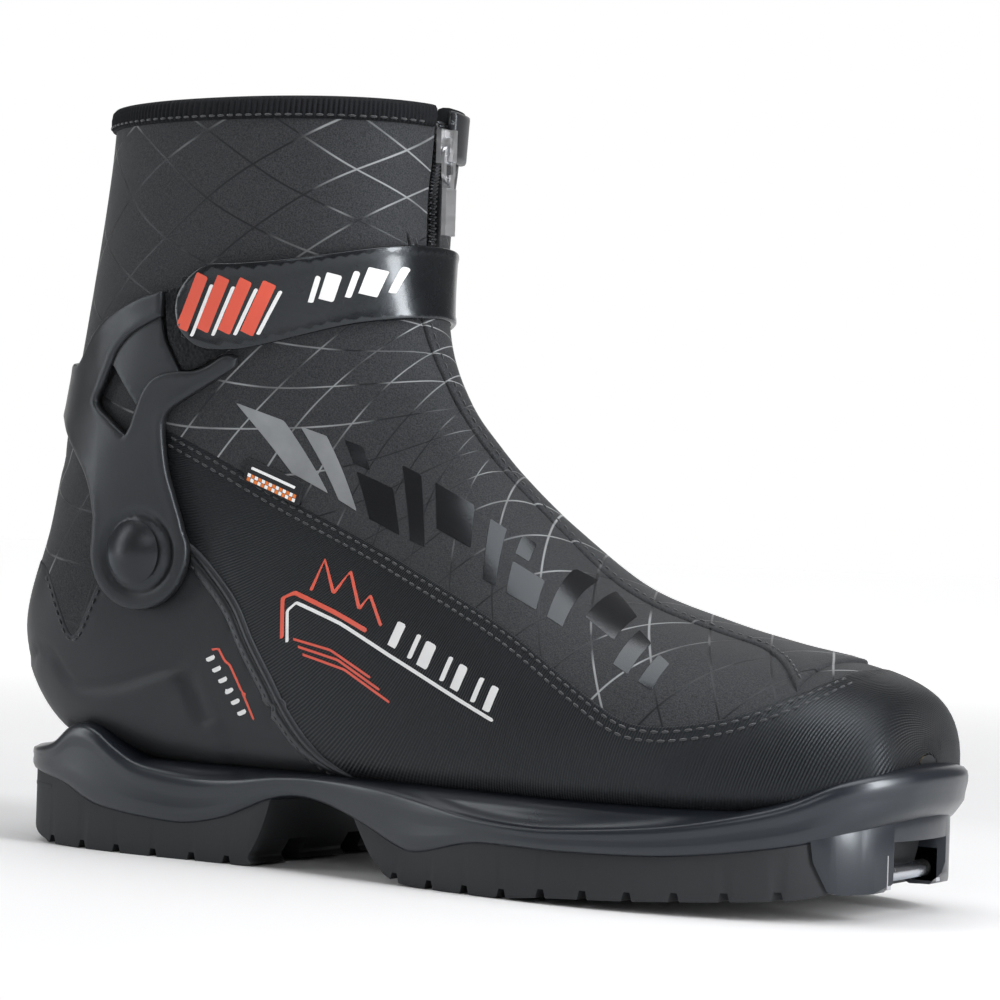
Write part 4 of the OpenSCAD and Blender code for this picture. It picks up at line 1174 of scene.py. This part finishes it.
def puff(piece, pressure, cap, frames=14, stiff=12.0):
    """Blows a closed cloth piece up a little, as its foam does, each point moving cap mm at most."""
    rest = np.array([v.co for v in piece.data.vertices])
    cloth = piece.modifiers.new("foam", "CLOTH")
    cloth.settings.use_pressure = True
    cloth.settings.uniform_pressure_force = pressure
    cloth.settings.tension_stiffness = stiff
    cloth.settings.compression_stiffness = stiff
    cloth.settings.bending_stiffness = 0.8
    cloth.settings.quality = 5
    cloth.settings.effector_weights.gravity = 0
    cloth.point_cache.frame_start, cloth.point_cache.frame_end = 1, frames
    for step in range(1, frames + 1):
        bpy.context.scene.frame_set(step)
    grown = piece.evaluated_get(bpy.context.evaluated_depsgraph_get()).to_mesh()
    moved = np.array([v.co for v in grown.vertices])
    piece.modifiers.clear()
    bpy.context.scene.frame_set(1)
    shift = moved - rest
    size = np.linalg.norm(shift, axis=1, keepdims=True)
    shift *= np.minimum(1, cap / 1000 / np.maximum(size, 1e-9))
    piece.data.vertices.foreach_set("co", (rest + shift).ravel())
    piece.data.update()


puff(tongue, 3.0, 0.9)
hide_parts("tongue")
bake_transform(tongue)

footbed_cloth, tree, shader = finish("footbed_cloth", (0.045, 0.05, 0.06), 0.9, Sheen_Weight=0.3)
vary_colour(tree, shader, noise(tree, 400, 3), (0.03, 0.033, 0.04), (0.065, 0.07, 0.08))
raise_surface(tree, shader, noise(tree, 1200, 2), 0.0002, 0.6)
bed_a = np.linspace(-58, 58, 40)
bed_s = np.linspace(2.0, 11.2, 60)
gs, ga = np.meshgrid(bed_s, bed_a, indexing="ij")
bed_top = over_last(gs, ga, np.full(gs.shape, -8.4))
bed_low = over_last(gs, ga, np.full(gs.shape, -5.2))
n = len(bed_a)
m = gs.size
faces = []
for i in range(len(bed_s) - 1):
    for j in range(n - 1):
        a, b = i * n + j, (i + 1) * n + j
        faces += [(a, a + 1, b + 1, b), (m + a, m + b, m + b + 1, m + a + 1)]
rim = ([(i * n, (i + 1) * n) for i in range(len(bed_s) - 1)]
       + [((i + 1) * n - 1, (i + 2) * n - 1) for i in range(len(bed_s) - 1)]
       + [(j, j + 1) for j in range(n - 1)] + [(m - n + j, m - n + j + 1) for j in range(n - 1)])
faces += [(p, q, m + q, m + p) for p, q in rim]
footbed = new_piece("footbed_moulded", np.vstack([bed_top.reshape(-1, 3), bed_low.reshape(-1, 3)]), faces,
                    footbed_cloth)
outward_faces(footbed)
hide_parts("footbed")
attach(footbed, "boot")

# --- Collar ---------------------------------------------------------------------------------------
# A black ribbed knit tape is folded over the top edge and sewn through. It runs from one side of
# the zip round the back to the other side.
knit, tree, shader = finish("ribbed_knit", (0.003, 0.003, 0.0036), 0.75, Specular_IOR_Level=0.2)
vary_colour(tree, shader, noise(tree, 1400, 2), (0.002, 0.002, 0.0025), (0.01, 0.01, 0.0115))
raise_surface(tree, shader, noise(tree, 2600, 2), 0.00025, 0.7)


def row_at_height(a, z):
    """Sections near the collar where the surface at angle a has height z."""
    lo, hi = np.full(len(a), 16.0), np.full(len(a), 18.0)
    for _ in range(24):
        mid = (lo + hi) / 2
        under = skin(mid, a)[:, 2] < z
        lo, hi = np.where(under, mid, lo), np.where(under, hi, mid)
    return (lo + hi) / 2


ribs = 200
around = np.linspace(-1, 1, ribs * 6 + 1) * 174.6
rib_wave = np.cos(np.arange(len(around)) * tau / 6)
COLLAR = [(215.4, 0.0, 0), (215.5, 0.55, 0.1), (216.6, 0.95, 0.22), (218.6, 1.05, 0.24), (220.6, 0.85, 0.2),
          (221.6, 0.1, 0.12), (221.9, -1.2, 0.05), (221.9, -3.2, 0.05), (221.4, -4.6, 0.12),
          (219.6, -5.2, 0.22), (216.6, -5.3, 0.22), (214.9, -5.0, 0.1), (214.7, -3.4, 0)]
levels = []
for z, proud, rib in COLLAR:
    s = row_at_height(around, min(z, 221.9))
    levels.append(over_last(s, around, proud + np.sign(proud + 1.2) * rib * rib_wave))
n, k = len(around), len(COLLAR)
points = np.stack(levels, 1).reshape(-1, 3)
faces = [(i * k + j, (i + 1) * k + j, (i + 1) * k + (j + 1) % k, i * k + (j + 1) % k)
         for i in range(n - 1) for j in range(k)] + [tuple(range(k)), tuple(range((n - 1) * k, n * k))[::-1]]
collar = new_piece("knit_collar", points, faces, knit)
outward_faces(collar)
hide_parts("collar_binding")
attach(collar, "cuff")
mid_round = around[8:-8:4]
collar_row = [on_cloth(row_at_height(mid_round, 216.4), mid_round, 0.95)]
collar_thread = stitches("collar_thread", collar_row, thread, proud=0.1, length=2.2, gap=0.9, wide=0.3)
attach(collar_thread, "cuff")

# --- Upper zip ------------------------------------------------------------------------------------
# A spiral zip on woven tapes closes the front of the shaft. Its slider stands at the top, with
# a bail, a flat ring and a puller, all of zinc, and a soft cap covers its end.
tape = twill("zip_tape", (0.022, 0.022, 0.024), (0.006, 0.006, 0.007), 0.0007, 0.7, 0.0001, 1.0)
zip_s = np.linspace(row_at(152), 17.72, 60)
for side, word in ((1, "outer"), (-1, "inner")):
    a = at_y(5.2, zip_s)
    piece = ribbon(f"zip_tape_{word}", zip_s, a if side > 0 else 360 - a,
                   [(x * side, p) for x, p in ((-3.6, -1.9), (-3.6, -1.5), (3.6, -1.3), (3.6, -1.8))], tape)
    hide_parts("shaft_zip_tapes")
    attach(piece, "cuff")
coil_nylon, tree, shader = finish("coil_nylon", (0.02, 0.02, 0.022), 0.35)
vary_colour(tree, shader, noise(tree, 700), (0.012, 0.012, 0.013), (0.03, 0.03, 0.033))
teeth = []
for i, s in enumerate(np.arange(zip_s[0] + 0.03, zip_s[-1], 0.052)):
    shift = 0.45 if i % 2 else -0.45
    y = np.linspace(-1.75, 1.75, 5) + shift
    a = np.array([at_y(abs(v), s)[0] if v < 0 else 360 - at_y(abs(v), s)[0] for v in y])
    teeth.append(on_cloth(np.full(5, s), a, -0.75))
coil = stitches("zip_coil", teeth, coil_nylon, proud=0.0, length=3.1, gap=0.05, wide=0.5)
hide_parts("shaft_zip_coil")
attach(coil, "cuff")
zinc, tree, shader = finish("zip_zinc", (0.8, 0.8, 0.81), 0.42, Metallic=1.0)
vary_roughness(tree, shader, noise(tree, 500, 4), 0.22, 0.45)
raise_surface(tree, shader, noise(tree, 1600, 2), 0.00004, 0.5)
dress(zinc, "zip_slider", "zip_link", "zip_puller")
for name in ("zip_slider", "zip_link", "zip_puller"):
    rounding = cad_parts[name].modifiers.new("rounded", "BEVEL")
    rounding.width = 0.00028
    rounding.segments = 3
    rounding.limit_method = "ANGLE"

# A soft cap of the trim stands beside the top of the zip
cap_s = np.linspace(17.0, 17.93, 12)
cap_outline = out_and_back(cap_s, 360 - at_y(3.0, cap_s), cap_s, 360 - at_y(15, cap_s))
garage = cut_panel("zip_cap", cap_outline, trim, 2.4, -0.2, grid=1.8, step=1.2, turn=1.6, drop=1.5,
                   backed=True)
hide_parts("zip_garage")
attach(garage, "cuff")

# --- Cuff -----------------------------------------------------------------------------------------
# A 2.6 mm moulded cuff of satin black polyamide stiffens the ankle. Each arm turns on a rivet and
# forks into two prongs that meet the strap, and a band joins both arms behind the heel.
pivot = np.array([-89.0, 89.0])
CUFF_FRONT = [(-74.6, 98.5), (-77, 105.5), (-79.2, 112.5), (-80.2, 119), (-80.6, 125), (-80, 128.6),
              (-77.6, 131.6), (-72, 135), (-64, 139.6), (-57, 143.8)]
CUFF_PRONG = [(-56.2, 146.6), (-59.5, 147.6), (-66, 144), (-71, 142.6), (-77, 142.4), (-82.5, 141),
              (-86.6, 137.6), (-89.6, 132), (-91.8, 126.5)]
CUFF_WINDOW = [(-93.6, 123.6), (-99, 127.6), (-105.2, 132.8), (-103, 137.6), (-100.2, 143), (-97.2, 148.4),
               (-91, 153.6), (-80.4, 158.4)]
CUFF_TOP = [(-80.4, 165.8), (-90, 163.4), (-101, 158.6), (-108, 153.8), (-113, 148.4), (-118, 144.6),
            (-128, 145.4), (-136, 147)]
CUFF_LOW = [(-138, 128.3), (-128, 128), (-120, 122.5), (-111, 114), (-107, 107), (-105.2, 99)]
boss = 17
round_end = [(pivot[0] + boss * cos(w), pivot[1] + boss * sin(w))
             for w in np.radians(np.linspace(-200, 20, 34))]
cuff_plastic, tree, shader = finish("satin_polyamide", (0.0125, 0.013, 0.0145), 0.38)
vary_colour(tree, shader, noise(tree, 20, 5), (0.0095, 0.01, 0.0115), (0.0165, 0.017, 0.0185))
vary_roughness(tree, shader, noise(tree, 70, 5), 0.33, 0.47, 0.3, 0.75)
raise_surface(tree, shader, noise(tree, 1500, 3), 0.00005, 0.6)


def cuff_face(points, s, a, far):
    """A seat for the rivet with a groove round it, and a rolled edge along the outline."""
    r = np.hypot(points[:, 0] - pivot[0], points[:, 2] - pivot[1])
    seat = 0.5 / (1 + np.exp((r - 10.2) * 3)) - 1.2 * np.exp(-((r - 10.9) / 1.15) ** 2)
    rolled = 0.12 * np.exp(-((far - 1.6) / 1.0) ** 2)
    return np.where(r < 13, seat, rolled)


low_back, high_back = (back_row(z, np.linspace(13, 16, 90)) for z in (128.3, 146))
parts = [smooth_line(CUFF_LOW, 1), np.array(round_end[1:-1]), smooth_line(CUFF_FRONT, 1),
         smooth_line(CUFF_PRONG, 1), smooth_line(CUFF_WINDOW, 1), smooth_line(CUFF_TOP, 1)]
s, a = on_side(np.vstack(parts))
half_s = np.concatenate([[low_back], s, [high_back]])
half_a = np.concatenate([[0], a, [0]])
cuff = cut_panel("cuff_moulding", both_sides(half_s, half_a), cuff_plastic, 3.8, 1.2, middle=0,
                 grid=1.1, step=0.9, turn=0.9, drop=0.9, relief=cuff_face, backed=True,
                 lift=lambda p, s, a: -1.7 * np.clip((-p[:, 0] - 104) / 22, 0, 1))
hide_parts("cuff_shell")
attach(cuff, "cuff")

# A thinner web of the same moulding closes the opening between the outer arm's two prongs
CUFF_WEB = [(-82, 161.5), (-91, 157), (-100, 151), (-102, 144.6), (-98.9, 143.7), (-89, 130.9), (-83, 136),
            (-76, 139.5), (-75.4, 142.8), (-80, 151.6)]


def side_outline(corners, step):
    """A closed outline on the outer side from its corners in side view."""
    ring = np.array(list(corners) + [corners[0]], float)
    return np.stack(on_side(even_line(ring, step)[:-1]), -1)


web = cut_panel("cuff_web", side_outline(CUFF_WEB, 1.0), cuff_plastic, 2.5, 0.9, grid=1.8, step=1.0, turn=0.4,
                drop=0.4, backed=True)
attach(web, "cuff")

# --- Rivets ---------------------------------------------------------------------------------------
# A black domed rivet joins each arm of the cuff to the boot, and the cuff turns on it. It goes
# through the upper to a steel washer inside.
rivet_black, tree, shader = finish("rivet_black", (0.03, 0.031, 0.034), 0.24, Metallic=0.6)
vary_roughness(tree, shader, noise(tree, 260, 5), 0.24, 0.42)
raise_surface(tree, shader, noise(tree, 900, 3), 0.00003, 0.5)
dress(rivet_black, "pivot_rivet_lateral", "pivot_rivet_medial")

# --- Strap ----------------------------------------------------------------------------------------
# A 23 mm strap of gloss-black coated webbing is riveted to the inner side, runs round the front
# over the zip, and closes on the outer side with hook and loop tape under its rounded free end.
strap_coat, tree, shader = finish("gloss_strap", (0.004, 0.0045, 0.0055), 0.24, Coat_Weight=0.25,
                                  Coat_Roughness=0.12)
vary_roughness(tree, shader, noise(tree, 120, 5), 0.18, 0.34)
raise_surface(tree, shader, noise(tree, 500, 3), 0.00012, 0.4)
STRAP_TOP = [(-12, 181), (-20, 179.4), (-30, 177.2), (-42, 175.2), (-54, 174), (-62, 173.8)]
STRAP_LOW = [(-61, 148.8), (-54, 149.4), (-44, 151.8), (-28, 156.4), (-20, 158), (-12, 159.2)]
STRAP_END = [(-62, 173.8), (-66, 172.8), (-70.4, 169.8), (-74, 165), (-75, 160), (-73.6, 154.8), (-70, 151),
             (-66, 149.2), (-61, 148.8)]


def strap_lift(points, s, a):
    """The free end rises over its tapes on the outer side."""
    t = np.clip((-points[:, 0] - 12) / 26, 0, 1)
    over_zip = 0.55 * np.exp(-(points[:, 1] / 8) ** 4)
    return np.where(points[:, 1] < 0, 2.1 * t * t * (3 - 2 * t), 0.0) - over_zip


strap_top, strap_low = smooth_line(STRAP_TOP, 1.2), smooth_line(STRAP_LOW, 1.2)
outer = np.vstack([strap_top, smooth_line(STRAP_END, 1.2)[1:-1], strap_low])
inner = np.vstack([strap_top, [(-75.4, 171), (-75.8, 160), (-75.4, 150)], strap_low])
os_, oa = on_side(outer)
is_, ia = on_side(inner)
strap_outline = out_and_back(os_, oa, is_, 360 - ia)
strap = cut_panel("strap", strap_outline, strap_coat, 2.5, 1.0, grid=1.8, step=1.0, turn=0.5, drop=0.5,
                  relief=lambda p, s, a, far: 0.25 * np.exp(-((far - 1.0) / 0.8) ** 2), backed=True,
                  lift=strap_lift)
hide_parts("strap_band", "strap_tab")
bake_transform(strap)

fuzz, tree, shader = finish("hook_and_loop", (0.006, 0.006, 0.0065), 0.95, Sheen_Weight=0.15,
                            Sheen_Roughness=0.35)
curls = cells(tree, 900)
vary_colour(tree, shader, curls, (0.002, 0.002, 0.0022), (0.016, 0.016, 0.017))
raise_surface(tree, shader, curls, 0.0006, 0.9)
LOOP = [(-79.4, 152), (-74.5, 143), (-72, 142.6), (-66, 145.4), (-58, 149.4), (-44, 153.4), (-38, 155),
        (-38, 173.6), (-58, 170.4), (-81, 166)]
HOOK = [(-74, 152.4), (-58, 151.4), (-44, 154.6), (-40, 155.6), (-40, 174), (-58, 170.8), (-74, 170)]


def fuzzy(points, s, a, far):
    """The uneven height of the pile."""
    x, z = points[:, 0], points[:, 2]
    return 0.22 * np.sin(x * 9.1 + z * 5.7) * np.sin(z * 8.3 - x * 3.1)


for name, outline, proud, under, body, replaced in (("loop_pile", LOOP, 1.5, 0.4, "cuff", "loop_tape"),
                                                    ("hook_pile", HOOK, 2.8, 1.9, "strap_tab", "hook_tape")):
    piece = cut_panel(name, side_outline(outline, 1.2), fuzz, proud, under, grid=0.8, step=0.7,
                      turn=0.5, drop=0.4, relief=fuzzy, backed=True)
    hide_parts(replaced)
    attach(piece, body)

# --- Label ----------------------------------------------------------------------------------------
# A small woven label is caught in the vamp's seam. It's black, with a white line and a band of
# orange and white checks.


def lay_on(piece, under, lift):
    """Presses a thin print down on the face of another piece, lift millimetres proud of it."""
    tree = BVHTree.FromPolygons([v.co for v in under.data.vertices],
                                [tuple(f.vertices) for f in under.data.polygons])
    m = piece["face_points"]
    for i, v in enumerate(piece.data.vertices):
        spot, normal, _, _ = tree.find_nearest(v.co)
        v.co = spot + normal * (lift if i < m else -0.15) / 1000


def joined(name, pieces):
    """One object of several, all with one material."""
    work = bmesh.new()
    for piece in pieces:
        work.from_mesh(piece.data)
    mesh = bpy.data.meshes.new(name)
    work.to_mesh(mesh)
    work.free()
    mesh.materials.append(pieces[0].data.materials[0])
    for piece in pieces:
        bpy.data.objects.remove(piece)
    made = bpy.data.objects.new(name, mesh)
    bpy.context.scene.collection.objects.link(made)
    return made


def prints(name, shapes, material, under, start_proud, lift=0.1, grid=2.6, step=1.0):
    """Thin printed shapes, given in side view, laid on a piece and joined into one."""
    made = []
    for shape in shapes:
        piece = cut_panel(name, side_outline(shape, step), material, start_proud, start_proud - 0.3,
                          grid=grid, step=step, turn=0.12, drop=0.03)
        lay_on(piece, under, lift)
        made.append(piece)
    whole = joined(name, made)
    return whole


def ink(name, colour, other, roughness, patch=60):
    """A printed or woven colour, a little uneven."""
    material, tree, shader = finish(name, colour, roughness)
    vary_colour(tree, shader, noise(tree, patch, 4), colour, other)
    raise_surface(tree, shader, noise(tree, 1400, 2), 0.00004, 0.6)
    return material


label_cloth = twill("label_weave", (0.03, 0.03, 0.032), (0.008, 0.008, 0.009), 0.0005, 0.7, 0.0001, 0.0)
LABEL = [(-54.8, 117.6), (-37.2, 110.6), (-38.4, 103.8), (-56.0, 110.9)]
label = cut_panel("seam_label", side_outline(LABEL, 0.8), label_cloth, 0.85, -0.3, grid=1.2, step=0.8,
                  turn=0.4, drop=0.35)
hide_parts("woven_label")
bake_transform(label)
orange = ink("orange_thread", (0.75, 0.2, 0.03), (0.55, 0.13, 0.02), 0.7, 300)
white = ink("white_ink", (0.78, 0.78, 0.78), (0.68, 0.68, 0.68), 0.45)
corner = np.array(LABEL[3])
run, up = np.array(LABEL[2]) - corner, np.array(LABEL[0]) - corner
for word, material, wanted in (("orange", orange, 0), ("white", white, 1)):
    shapes = []
    for row in range(2):
        for k in range(14):
            if (k + row) % 2 == wanted:
                p = corner + run * (0.06 + k * 0.063) + up * (0.1 + 0.17 * row)
                shapes.append([p, p + run * 0.055, p + run * 0.055 + up * 0.15, p + up * 0.15])
    if wanted:
        p = corner + run * 0.1 + up * 0.62
        shapes.append([p, p + run * 0.78, p + run * 0.78 + up * 0.12, p + up * 0.12])
    checks = prints(f"label_checks_{word}", shapes, material, label, 0.9, 0.06, grid=1.0, step=0.5)
    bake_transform(checks)

# --- Prints ---------------------------------------------------------------------------------------
# Slanted bars in silver and gloss black are printed along the seam, and plain bars, lines and
# peaks in red and white on vamp, counter and strap. None of them is a letter or a mark.
silver_ink = ink("silver_ink", (0.26, 0.27, 0.28), (0.12, 0.125, 0.13), 0.34, 90)
gloss_ink = ink("gloss_black_ink", (0.006, 0.006, 0.007), (0.01, 0.01, 0.011), 0.2)
red = ink("red_ink", (0.7, 0.1, 0.055), (0.55, 0.07, 0.04), 0.45)
BAND_LOW = smooth_line([(-47, 116), (-36, 111), (-11.2, 99.4), (11.5, 91.5), (40.6, 80), (71.2, 65.8),
                        (92, 56.2)], 1)
BAND_HIGH = smooth_line([(-66, 137), (-51, 131.7), (-19.5, 121), (13.2, 107), (42, 91.7), (72.8, 75.6),
                         (94, 64)], 1)


def along_line(line, t):
    """The point at share t along a line."""
    return line[int(round(np.clip(t, 0, 1) * (len(line) - 1)))]


def slanted_bar(t, width, low, high):
    """A bar across the printed band, at share t along it, between two shares of its height."""
    corners = []
    for share, edge in ((low, t), (low, t + width), (high, t + width), (high, t)):
        p, q = along_line(BAND_LOW, edge), along_line(BAND_HIGH, edge)
        corners.append(p + (q - p) * share)
    return corners


BARS = [(0.04, 0.085, 0.0, 0.95), (0.155, 0.045, 0.0, 0.95), (0.235, 0.075, 0.0, 0.6),
        (0.235, 0.03, 0.7, 1.0), (0.34, 0.04, 0.0, 1.0), (0.41, 0.085, 0.35, 1.0),
        (0.53, 0.035, 0.0, 0.95), (0.59, 0.07, 0.0, 0.55), (0.59, 0.03, 0.68, 1.0),
        (0.69, 0.04, 0.0, 0.95), (0.76, 0.08, 0.4, 0.95), (0.87, 0.04, 0.0, 0.85),
        (0.935, 0.03, 0.0, 0.8)]
for word, material, chosen in (("silver", silver_ink, BARS[:2]), ("gloss", gloss_ink, BARS[2:])):
    bars = prints(f"instep_bars_{word}", [slanted_bar(*b) for b in chosen], material, shell, 0.2)
    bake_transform(bars)


def stroke(points, width):
    """A thin line with pointed ends through side-view points."""
    p = np.array(points, float)
    d = np.gradient(p, axis=0)
    square = np.stack([-d[:, 1], d[:, 0]], -1) / np.linalg.norm(d, axis=1, keepdims=True)
    w = np.full(len(p), width / 2.0)
    return list(p + square * w[:, None]) + list((p - square * w[:, None])[::-1])


peaks = [stroke([(-38, 66), (-39.5, 77.5), (-35.5, 79.2), (-20, 74), (-8, 69.5)], 1.3),
         stroke([(-30, 80), (-27, 89), (-22, 79.5)], 1.1),
         stroke([(-22, 79.5), (-17.5, 86), (-12, 75.5)], 1.1),
         stroke([(-12, 75.5), (-9, 79.5), (-3, 71)], 1.0)]
peaks += [stroke([(-34 + k * 2, 66 - k * 2.1), (-20 + k * 3, 63.5 - k * 2.6),
                  (-4 + k * 4, 56.5 - k * 3.2)], 0.7) for k in range(3)]
white_shapes = [stroke([(-36, 65), (-37.3, 74), (-34.5, 76.4), (-18, 71.2), (2, 63), (20, 56),
                        (42, 47.5)], 1.0)]
white_shapes += [stroke([(x, 66.8 - (x + 1) * 0.42), (x + 2.4, 73.6 - (x + 1) * 0.42)], w)
                 for x, w in ((2, 3.2), (9, 1.6), (14, 4.2), (22, 1.6), (27, 3.2), (34, 1.6), (39, 2.6))]
for word, material, shapes in (("red", red, peaks), ("white", white, white_shapes)):
    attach(prints(f"vamp_print_{word}", shapes, material, vamp, 0.1), "boot")
heel_white = [stroke([(-64.6 + k * 2.5, 58.3 - k * 3), (-61.6 + k * 2.5, 59.6 - k * 3)], 1.3)
              for k in range(6)]
heel_red = [stroke([(-63, 61.5), (-60.5, 62), (-57.8, 58.4), (-56, 57.6), (-50, 48.6), (-46, 42)], 0.7)]
for word, material, shapes in (("white", white, heel_white), ("red", red, heel_red)):
    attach(prints(f"heel_print_{word}", shapes, material, counter, 0.1), "boot")

strap_white = [stroke([(x, 163.2 + (x + 34) * 0.19), (x + 2.2, 170.8 + (x + 34) * 0.19)], w)
               for x, w in ((-35.5, 1.3), (-31.8, 3.6), (-26.8, 1.4), (-22.6, 4.0), (-18, 1.4))]
tab_red = [stroke([(-72.5 + k * 6.6, 154.6 - k * 0.3), (-65.5 + k * 6.6, 170.4 - k * 0.7)], 3.8)
           for k in range(4)]
tab_white = [stroke([(-69.3 + k * 6.6, 152.6 + k * 0.3), (-62.6 + k * 6.6, 167.6 - k * 0.5)], 1.0)
             for k in range(4)]
for word, material, shapes in (("bars", white, strap_white), ("tab_red", red, tab_red),
                               ("tab_white", white, tab_white)):
    piece = prints(f"strap_print_{word}", shapes, material, strap, 4.7, 0.06, grid=2.0, step=0.8)
    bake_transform(piece)
